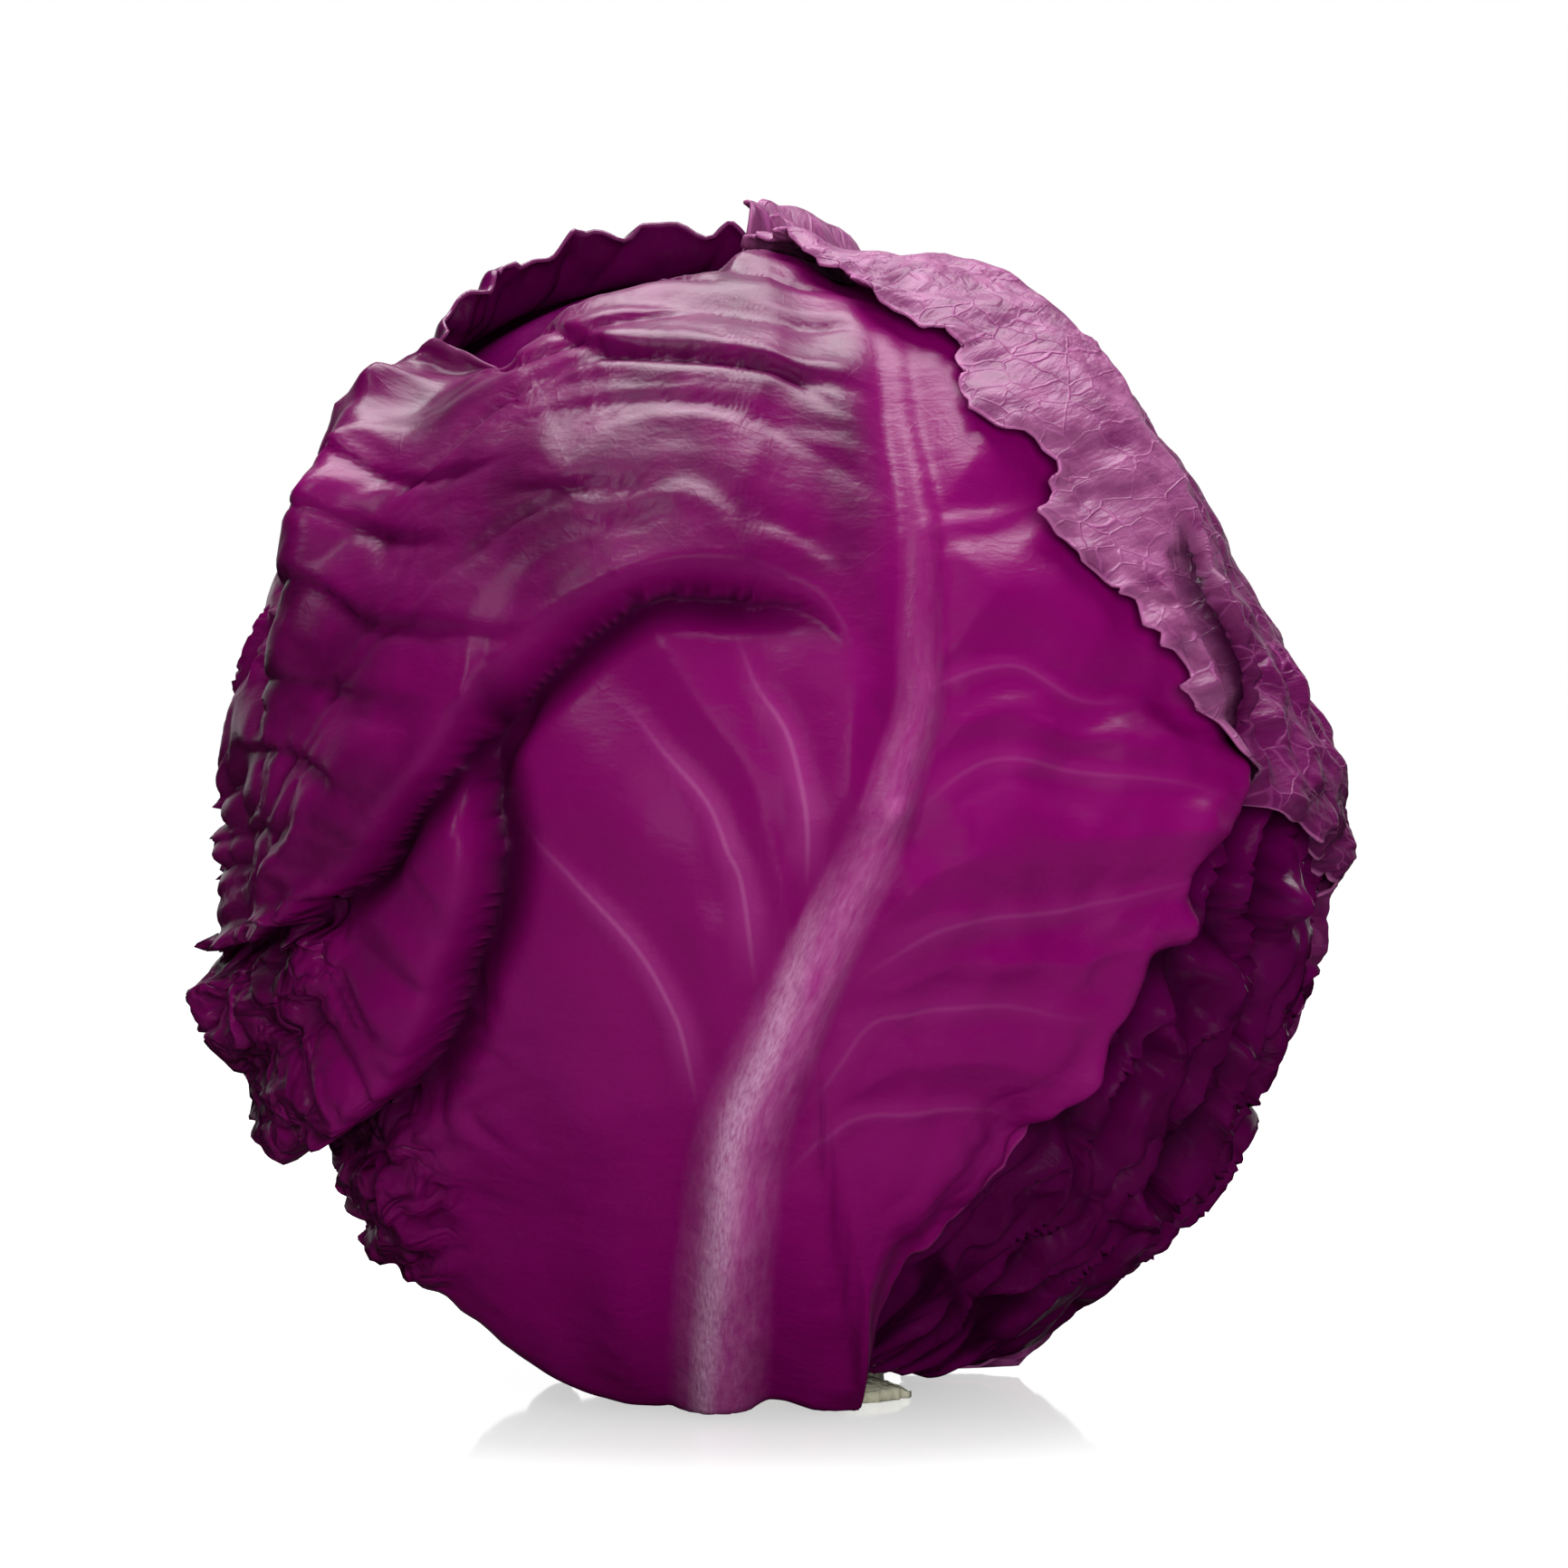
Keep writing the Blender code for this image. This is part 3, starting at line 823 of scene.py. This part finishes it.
# %% [markdown]
# ## The front leaf
# The broad leaf that faces the front. Its midrib rises from the foot in a long S. Over the left
# half a great flap of the same blade rolls down over a hollow, a second lobe pillows out under
# it, and the right half lies in quilted swells between its veins. It could be sculpted, but
# here each rib, vein, lip and fold is a line drawn on the front elevation, so that every one
# can be moved by itself.

# %% Front leaf: outline
FRONT = axes_of(0, 0)
FRONT_RIGHT_MARGIN = [(65, 3), (64, -4), (61, -9), (59, -15), (56, -20), (54, -25), (49, -31),
                      (46, -35), (44, -40), (41, -44), (36, -48), (32, -55), (26, -60),
                      (20, -65), (16, -70), (14, -76), (13, -82)]
FRONT_TOP_MARGIN = [(-43, 65), (-38, 65), (-35, 68), (-30, 71), (-25, 74), (-18, 76), (-8, 78)]


def on_front(points):
    return from_front(FRONT, points, 76.0, foot_radius=82.5)


def margin_points(chart):
    """Points of a chart as (bearing, reach) round the leaf's middle."""
    bearing = np.degrees(np.arctan2(chart[:, 0], chart[:, 1])) % 360
    return list(zip(bearing, np.hypot(chart[:, 0], chart[:, 1])))


front_outline = [(0, 112), (20, 104), (41, 90), (61, 80), (78, 76), (186, 112), (205, 106),
                 (230, 112), (255, 120), (280, 118), (305, 112)]
front_outline += margin_points(on_front(FRONT_RIGHT_MARGIN))
front_outline += margin_points(from_front(FRONT, FRONT_TOP_MARGIN, 79.5))
sheet = spread(FRONT, front_outline, 220, teeth=(0.5, 4.0), tears=(1.5, 15.0), seed=91)
print("front leaf outline:", len(front_outline), "points")

# %% Front leaf: midrib and veins
MIDRIB = [(-6, -86), (-6, -70), (-5, -57), (-3, -45), (1, -34), (6, -24), (11, -14), (16, -4),
          (19, 5), (22, 14), (22, 24), (22, 34), (21, 44), (19, 53), (18, 59), (16, 66), (11, 73)]
rib_line = on_front(MIDRIB)
rib = ridge(sheet, rib_line, [4.2, 3.8, 3.2, 2.6, 2.0, 1.6, 1.0],
            [8.6, 8.2, 7.0, 4.6, 4.0, 3.3, 2.8], taper=(0.0, 0.3))
rib_across, rib_along, _, _ = follow(sheet, smooth_line(rib_line))
over_the_top = rib_line[-1] + (rib_line[-1] - rib_line[-2]) * 8
left_of_rib = smoothstep(1, 10, follow(sheet, smooth_line([*rib_line, over_the_top]))[0])
# the blade sinks a little beside the midrib, and a whitish stripe runs up its left side
ridge(sheet, rib_line, [-1.2, -1.2, -1.0, -0.6, -0.3], [14.0, 13.0, 9.0, 7.0, 5.0], (0.0, 0.3))
STRIPE_LINE = [(-8, -86), (-8, -74), (-6, -57), (-4, -42), (1, -31), (5, -20), (9, -11), (12, -4)]
stripe = ridge(sheet, on_front(STRIPE_LINE), 0.25, [2.6, 2.8, 3.4, 2.8, 1.8], taper=(0.0, 0.3))
VEINS = [   # route, height, half width at the root and at the end
    ([(-9, -42), (-11, -32), (-13, -27), (-18, -19), (-26, -10), (-33, -3), (-37, 1)], 0.49, (3.9, 1.44)),
    ([(-1, -26), (-3, -11), (-5, -6), (-8, 1), (-14, 8), (-18, 13), (-25, 19)], 0.56, (4.16, 1.44)),
    ([(6, -12), (6, -3), (5, 4), (3, 11), (-1, 17), (-3, 22), (-5, 27)], 0.56, (3.9, 1.44)),
    ([(22, 36), (24, 39), (31, 40), (39, 43)], 0.56, (2.86, 1.2)),
    ([(21, 12), (24, 17), (35, 20), (44, 15), (54, 15)], 0.49, (2.86, 1.2)),
    ([(19, -3), (23, 1), (28, 5), (34, 7), (44, 5), (56, 3), (62, -1)], 0.49, (4.16, 1.44)),
    ([(11, -27), (14, -23), (23, -17), (32, -15), (42, -14), (56, -9), (62, -5)], 0.49, (4.16, 1.44)),
    ([(4, -43), (7, -39), (14, -30), (21, -28), (32, -27), (43, -28), (48, -25)], 0.49, (4.16, 1.44)),
    ([(2, -52), (5, -48), (11, -42), (19, -41), (29, -41), (38, -45)], 0.56, (3.12, 1.2)),
]
veins = np.zeros_like(rib)
for route, height, widths in VEINS:
    pale_share = 1.0 if route[-1][0] < 0 else 0.3       # paler in the hollow, left of the midrib
    veins = np.maximum(
        veins, pale_share * ridge(sheet, on_front(route), height, widths, (0.25, 0.5)))
print("front leaf:", len(VEINS), "side veins")

# %% [markdown]
# The flap and the lobe are each one lip: a line along the rolled edge, with the blade rising on
# one side of it and a shaded hollow on the other. The flap comes last and lies over both.

# %% Front leaf: quilted blade, then the lobe and the flap over it
puffed = 1 - np.exp(-(sheet["vein_side"] / 7.0) ** 2)
vein_side = sheet["vein_side"].copy()
sheet["relief"] += 2.4 * puffed * smoothstep(-30, 5, sheet["a"] + 0.4 * sheet["b"])
a, b = sheet["a"], sheet["b"]
sheet["relief"] += 1.2 * noise(a / 24, b / 24, 98)
sheet["relief"] += 0.5 * (rumple(a / 16, b / 10, 99) - 0.5) * smoothstep(5, 25, a) * smoothstep(
    40, 20, b)
FLAP_LIP = [(-82, -18), (-76, -19), (-70, -17), (-63, -14), (-56, -9), (-52, -5), (-47, 1),
            (-43, 6), (-40, 11), (-36, 15), (-31, 20), (-25, 25), (-18, 29), (-11, 31), (-4, 31),
            (2, 30), (7, 28), (11, 23), (14, 17)]
LOBE_LIP = [(-65, -50), (-59, -44), (-53, -41), (-48, -37), (-44, -30), (-42, -22), (-39, -14),
            (-38, -6), (-39, 0), (-40, 7), (-39, 13)]
# deep keeps where the lobe and the flap overhang their hollows, and the skin paints shade there
deep = lip(sheet, on_front(LOBE_LIP), [2.0, 4.0, 5.0, 5.0, 4.0], 3.0, 24, 4.6, 9, 1.0, (0.1, 0.0))
flap_line = smooth_line(on_front(FLAP_LIP))
above, along, _, _ = follow(sheet, flap_line)
on_flap = smoothstep(0, 6, above) * left_of_rib
before = {field: sheet[field] * (1 - 0.75 * on_flap) for field in ("relief", "drift_a", "drift_b")}
sheet.update({field: values.copy() for field, values in before.items()})
deep = np.maximum(deep * (1 - on_flap), lip(
    sheet, on_front(FLAP_LIP), [0.5, 2.0, 4.5, 6.0, 6.5, 6.0, 5.0, 3.0], 5.0, 60, 4.5, 8, 2.6,
    (0.05, 0.18)))

# %% [markdown]
# The flap's folds run round it beside its lip, as the layers of a bent plank do. So they are
# noise in the lip's own directions: slow along it and quick away from it. The ten sharpest
# ones are drawn, each a small lip of its own.

# %% Front leaf: folds that sweep round the flap beside its lip
sweep = along * 150
bend = 12.0 * noise(sweep / 34, above / 26, 101) + 4.0 * noise(sweep / 13, above / 10, 106)
tight = 1.0 - 0.35 * smoothstep(70, 20, sweep)
fold = np.sqrt(np.abs(noise(sweep / 52, (above + bend) / (17 * tight), 102)) + 0.01)
small = np.sqrt(np.abs(noise(sweep / 30 + 5, (above + bend) / (7.0 * tight), 103)) + 0.01)
streak = noise(sweep / 26, (above + bend) / 3.6, 107)
flap_area = smoothstep(3, 10, above) * left_of_rib
flap_left = smoothstep(75, 25, sweep)
sheet["relief"] += flap_area * (2.4 + 2.6 * flap_left) * (fold - 0.4)
sheet["relief"] += flap_area * (0.8 + 1.6 * flap_left) * (small - 0.3)
sheet["relief"] += flap_area * 0.4 * streak
sheet["relief"] -= 5.5 * smoothstep(-50, -100, a) * smoothstep(-45, -5, b) * smoothstep(80, 30, b)
FOLDS = [   # route, rise, hollow: creases across the flap, the blade above each lapping over it
    ([(-2, 68), (-11, 70), (-18, 71), (-24, 72), (-30, 72)], 1.05, 0.63),
    ([(14, 49), (10, 53), (4, 57), (-2, 58), (-11, 58), (-20, 59), (-26, 62), (-33, 65)], 1.275, 0.63),
    ([(-4, 66), (-14, 64), (-24, 61), (-32, 58), (-40, 57)], 0.9, 0.49),
    ([(-8, 43), (-16, 42), (-28, 41), (-35, 40)], 0.525, 0.35),
    ([(-30, 46), (-38, 44), (-48, 43), (-56, 46)], 0.75, 0.49),
    ([(-38, 34), (-46, 35), (-54, 37), (-62, 36)], 0.825, 0.56),
    ([(-26, 25), (-36, 24), (-50, 24), (-58, 29), (-68, 28)], 1.2, 0.7),
    ([(-40, 14), (-52, 15), (-62, 17), (-72, 18)], 0.675, 0.49),
    ([(-47, 3), (-53, 4), (-64, 8), (-74, 8)], 1.125, 0.7),
    ([(-56, -4), (-64, -2), (-72, -3), (-78, -6)], 0.9, 0.7),
]
for route, rise, sink in FOLDS:
    lip(sheet, on_front(route[::-1]), rise, 2.4, 12, sink, 3.0, 0.8, (0.3, 0.35))
# right of the midrib, the blade goes back to what it was before the flap
keep = np.maximum(left_of_rib, 1 - smoothstep(-6, 2, above))
for field, values in before.items():
    sheet[field] = values + (sheet[field] - values) * keep
print("front leaf:", len(FOLDS), "drawn folds")

# %% Front leaf: tight ruffles at the lower left, and the free right margin
lobe_area = patch(sheet, (-58, -28), (30, 42), 20, 0.6)
ruffled = np.maximum(patch(sheet, (-92, -22), (34, 46), 0, 0.5),
                     patch(sheet, (-74, -62), (34, 30), 35, 0.5)) * (1 - on_flap)
big = rumple(a / 15, b / 11, 95)
curl = rumple(a / 6.0, b / 6.0, 97)
sheet["relief"] += lobe_area * 2.6 * (rumple((a - b) / 26, (b + a * 0.6) / 9, 96) - 0.4)
sheet["relief"] += ruffled * (6.5 * (big - 0.1) + 2.8 * curl)
sheet["relief"] -= 3.5 * patch(sheet, (-84, -62), (30, 26), 0, 0.8)
sheet["drift_a"] += ruffled * 2.2 * noise(a / 5.0, b / 5.0, 104)
sheet["drift_b"] += ruffled * 2.2 * noise(a / 5.0, b / 5.0, 105)
# painted shade down in the ruffles' folds
deep = np.maximum(deep, ruffled * smoothstep(0.4, 0.15, big) * 0.5)
# the right margin stands off the crinkled leaf, with its very edge rolled under
at_right = smoothstep(25, 45, a)
sheet["relief"] += np.exp(-(sheet["edge"] / 10) ** 2) * at_right * (5.0 + 1.6 * noise(a / 8, b / 8, 100))
sheet["relief"] -= 6.0 * np.exp(-(sheet["edge"] / 2.6) ** 2) * at_right
settle(sheet, 5.0, hug=14, slack=22)
pale = (1 - on_flap) * (1 - ruffled) * (0.75 + 0.25 * smoothstep(-40, 10, a))
grow("front_leaf_sheet", sheet, OUTER, "front_leaf",
     blank_masks(sheet, rib=rib ** 0.7 * smoothstep(0.8, 0.4, rib_along), vein=veins,
                 stripe=stripe, pale=pale, deep=deep, vein_side=vein_side, crumple=ruffled,
                 rib_across=rib_across, rib_along=rib_along * 175))

# %% [markdown]
# ## The shoulder leaf
# The outermost leaf, dry and dusty, torn along the margin that crosses the front leaf. A long
# tongue of it hangs down at the right, beside a deep fold. Its torn margin could be cut with a
# knife tool, but it is quicker and neater to give it as the outline that the leaf is spread to.

# %% Shoulder leaf
SHOULDER_AXES = axes_of(112, 4)


def on_shoulder(points):
    return from_front(SHOULDER_AXES, points, 84.0)


SHOULDER_MARGIN = [(-6, 84), (1, 82), (7, 79), (12, 77), (11, 76), (17, 72), (23, 69), (27, 66),
                   (30, 66), (28, 62), (29, 58), (34, 55), (44, 51), (39, 48), (40, 43), (44, 38),
                   (49, 33), (53, 29), (57, 22), (61, 14), (64, 10), (68, 5)]
shoulder_outline = [(20, 108), (40, 102), (60, 98), (90, 92), (120, 90), (150, 98), (180, 112),
                    (190, 76), (202, 50), (216, 40), (232, 37), (244, 40), (256, 52), (266, 74)]
shoulder_outline += margin_points(on_shoulder(SHOULDER_MARGIN))
sheet = spread(SHOULDER_AXES, shoulder_outline, 220, teeth=(1.3, 3.0), tears=(2.0, 8.0), seed=111,
               focus=(0.22, 0))
rib, veins = veined(sheet, STRAIGHT_RIB, [4.0, 0.8], [9.0, 2.5], 6, height=0.8, width=1.8, seed=12)
FOLD_EDGE = [(59, 41), (62, 38), (64, 30), (68, 20), (71, 11), (73, 3), (75, -6)]
# the hollow beside the fold's edge is kept in deep, and the skin paints shade there
deep = lip(sheet, on_shoulder(FOLD_EDGE), [2.0, 2.6, 2.2, 1.0], 3.5, 30, 5.0, 8.0, 2.0, (0.1, 0.0))
beyond_fold = follow(sheet, smooth_line(on_shoulder(FOLD_EDGE)))[0]
dusty = 1 - 0.75 * smoothstep(24, 55, sheet["edge"])
dusty *= 1 - 0.9 * smoothstep(-7, 1, beyond_fold) * smoothstep(45, 20, sheet["b"])
a, b = sheet["a"], sheet["b"]
body = smoothstep(-75, -60, a)
sheet["relief"] += (0.5 + 0.5 * body) * (1.7 * rumple(a / 13, b / 17, 113)
                                         + 0.6 * noise(a / 6, b / 6, 115))
free = np.exp(-(sheet["edge"] / 5) ** 2)
sheet["relief"] += free * (1.4 + 2.0 * noise(a / 7, b / 7, 117)) * smoothstep(-25, 5, b)
sheet["drift_a"] += free * 1.6 * noise(a / 6, b / 6, 118)
sheet["drift_b"] += free * 1.6 * noise(a / 6, b / 6, 119)
settle(sheet, 1.2, hug=8)
grow("shoulder_leaf_sheet", sheet, SHOULDER, "shoulder_leaf",
     blank_masks(sheet, rib=rib * 0.6, vein=veins * 0.8, deep=deep, crumple=0.3 * body,
                 dusty=dusty), thickness=0.4)

# %% [markdown]
# ## The cut stem and the leaf stubs
# The stem was cut straight across, which is the face that the head stands on. Three leaves were
# broken off above the cut and left their pale feet behind. Each foot starts as a flat grid that
# is given a wall down to the table, and is then bent round the stem with a torn outer end.

# %% Stem and stubs
def flesh_material():
    material = bpy.data.materials.new("cut stem flesh")
    material.use_nodes = True
    tree = material.node_tree
    skin = tree.nodes["Principled BSDF"]
    skin.inputs["Roughness"].default_value = 0.5
    place = tree.nodes.new("ShaderNodeTexCoord").outputs["Object"]
    blotches = mottled(tree, place, 160.0, 0.3)
    colour = blend_colour(tree, blotches, (0.52, 0.50, 0.33), (0.78, 0.77, 0.62))
    fibres = grainy(tree, place, 700.0, 3.0)
    bump = add(tree, "ShaderNodeBump", {"Height": fibres, "Distance": 0.0004}).outputs[0]
    tree.links.new(colour, skin.inputs["Base Color"])
    tree.links.new(bump, skin.inputs["Normal"])
    return material


FLESH = flesh_material()
STEM_FOOT_RADIUS, STEM_NECK_RADIUS, STEM_HEIGHT = 16.5, 15.5, 8.0      # mm
STUB_REACH = (17.2, 26.0)               # mm from the stem's middle
STUB_HALF_ANGLE, STUB_HEIGHT = 16.5, 2.9


def flesh_piece(piece, name, node):
    piece.name = piece.data.name = name
    piece.data.shade_smooth()
    piece.data.materials.append(FLESH)
    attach(piece, "root")
    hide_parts(node)


bpy.ops.mesh.primitive_cone_add(vertices=96, radius1=STEM_FOOT_RADIUS / 1000,
                                radius2=STEM_NECK_RADIUS / 1000, depth=STEM_HEIGHT / 1000,
                                location=(0, 0, STEM_HEIGHT / 2000))
stem = bpy.context.active_object
bpy.ops.object.transform_apply()
rounding = stem.modifiers.new("cut edge", "BEVEL")
rounding.width, rounding.segments, rounding.limit_method = 0.0006, 3, "ANGLE"
bpy.ops.object.modifier_apply(modifier=rounding.name)
flesh_piece(stem, "cut_stem", "stem")

for number, (azimuth, _) in enumerate(STUBS, 1):
    bpy.ops.mesh.primitive_grid_add(x_subdivisions=40, y_subdivisions=16, size=2)
    stub = bpy.context.active_object
    skin = stub.modifiers.new("down to the table", "SOLIDIFY")
    skin.thickness, skin.offset = 1.0, -1.0
    bpy.ops.object.modifier_apply(modifier=skin.name)
    flat = np.array([vertex.co[:] for vertex in stub.data.vertices])
    angle = np.radians(azimuth + STUB_HALF_ANGLE * flat[:, 0])
    torn = 1.0 + 2.2 * np.abs(noise(flat[:, 0] * 2.5, flat[:, 0] * 0 + 0.4, 130 + number))
    outward = (flat[:, 1] + 1) / 2
    radius = STUB_REACH[0] + outward * (STUB_REACH[1] - STUB_REACH[0] - torn)
    top = STUB_HEIGHT * (1 - 0.45 * outward**2 - 0.25 * flat[:, 0] ** 4)
    top -= 0.5 * np.abs(noise(flat[:, 0] * 3, flat[:, 1] * 3, 140 + number))
    height = np.where(flat[:, 2] > -0.5, top, 0.02)
    placed = np.stack([radius * np.sin(angle), -radius * np.cos(angle), height], axis=-1) / 1000
    stub.data.vertices.foreach_set("co", placed.ravel())
    bpy.ops.object.mode_set(mode="EDIT")
    bpy.ops.mesh.select_all(action="SELECT")
    bpy.ops.mesh.normals_make_consistent(inside=False)
    bpy.ops.object.mode_set(mode="OBJECT")
    flesh_piece(stub, f"torn_leaf_foot_{number}", f"leaf_stub_{number}")
print("stem and", len(STUBS), "torn leaf feet")

# %% [markdown]
# ## The studio
# A polished white table under one large soft light, which gives the upward faces their sheen.
# A narrow light from the front left adds small glints. A low one in front lights the leaves
# and is kept out of their shine, and the backdrop is white behind the head only, because a wet
# purple skin would mirror a white room and turn grey.

# %% Lights
def soft_light(name, place, aim, width, height, power):
    lamp = bpy.data.lights.new(name, "AREA")
    lamp.shape, lamp.size, lamp.size_y, lamp.energy = "RECTANGLE", width, height, power
    holder = bpy.data.objects.new(name, lamp)
    bpy.context.scene.collection.objects.link(holder)
    holder.location = place
    way = np.array(aim) - np.array(place)
    pitch = math.acos(-way[2] / np.linalg.norm(way))
    holder.rotation_euler = (pitch, 0, math.atan2(way[1], way[0]) - math.pi / 2)
    return holder


# name, place, what it is aimed at, width, height and power
for name, place, aim, width, height, power in (
        ("overhead", (0.05, 0.14, 1.05), (0, 0.03, 0.08), 0.95, 0.8, 19.5),
        ("glint", (-0.5, -0.9, 0.9), (0, 0, 0.08), 0.15, 0.5, 2.0),
        ("front_fill", (0.2, -1.3, 0.18), (0, 0, 0.08), 0.7, 0.7, 15.0)):
    light = soft_light(name, place, aim, width, height, power)
    light.visible_glossy = name != "front_fill"
print("lights: overhead, glint, front_fill")


# %% White table
def table_material():
    material = bpy.data.materials.new("white table")
    material.use_nodes = True
    tree = material.node_tree
    surface = tree.nodes["Principled BSDF"]
    surface.inputs["Roughness"].default_value = 0.6
    surface.inputs["Specular IOR Level"].default_value = 0.0
    surface.inputs["Coat Roughness"].default_value = 0.06
    surface.inputs["Emission Strength"].default_value = 1.0
    place = tree.nodes.new("ShaderNodeTexCoord").outputs["Object"]
    distance = add(tree, "ShaderNodeVectorMath", {0: place}, operation="LENGTH").outputs["Value"]
    rays = tree.nodes.new("ShaderNodeLightPath").outputs
    # its polish mirrors the foot of the head, and the mirror image fades within a hand's width
    polish = stretched(tree, distance, 0.02, 0.11, 1.0, 0.0)
    # the leaves take soft light from the table, and no shine
    reflectance = stretched(tree, rays["Is Glossy Ray"], 0.0, 1.0, 0.28, 0.0)
    tree.links.new(polish, surface.inputs["Coat Weight"])
    tree.links.new(reflectance, surface.inputs["Base Color"])
    # to the eye, what is under the polish is as white as the backdrop
    tree.links.new(rays["Is Camera Ray"], surface.inputs["Emission Color"])
    return material


bpy.ops.mesh.primitive_plane_add(size=12.0)
floor = bpy.context.active_object
floor.name = "white_table"
floor.data.materials.append(table_material())
print("table:", floor.name)


# %% Backdrop and camera
def studio_backdrop():
    """White to the eye. To the leaves, bright behind the head and dim everywhere else."""
    world = bpy.data.worlds.new("studio")
    world.use_nodes = True
    tree = world.node_tree
    background = tree.nodes["Background"]
    eye = tree.nodes.new("ShaderNodeLightPath").outputs["Is Camera Ray"]
    way = tree.nodes.new("ShaderNodeTexCoord").outputs["Generated"]
    behind = add(tree, "ShaderNodeSeparateXYZ", {0: way}).outputs["Y"]
    glow = maths(tree, "POWER", stretched(tree, behind, 0.4, 1.0, 0.36, 1.0), 4.0)
    background.inputs["Color"].default_value = (1, 1, 1, 1)
    tree.links.new(maths(tree, "MAXIMUM", eye, glow), background.inputs["Strength"])
    return world


bpy.context.scene.world = studio_backdrop()
bpy.context.scene.view_settings.view_transform = "Standard"

camera = bpy.data.objects.new("camera", bpy.data.cameras.new("camera"))
bpy.context.scene.collection.objects.link(camera)
bpy.context.scene.camera = camera
camera.data.lens = 124.2
camera.data.sensor_width = 36
camera.data.clip_start = 0.02
FRAMING = np.array([2.5, 0, 0]) + VIEW_UP * 2.1      # mm that the camera stands to the right and up
camera.location = (CENTRE + EYE_DIRECTION * EYE_DISTANCE + FRAMING) / 1000
camera.rotation_euler = (math.radians(90 - EYE_RISE), 0, 0)
print("camera, mm from the head's middle:", EYE_DISTANCE)
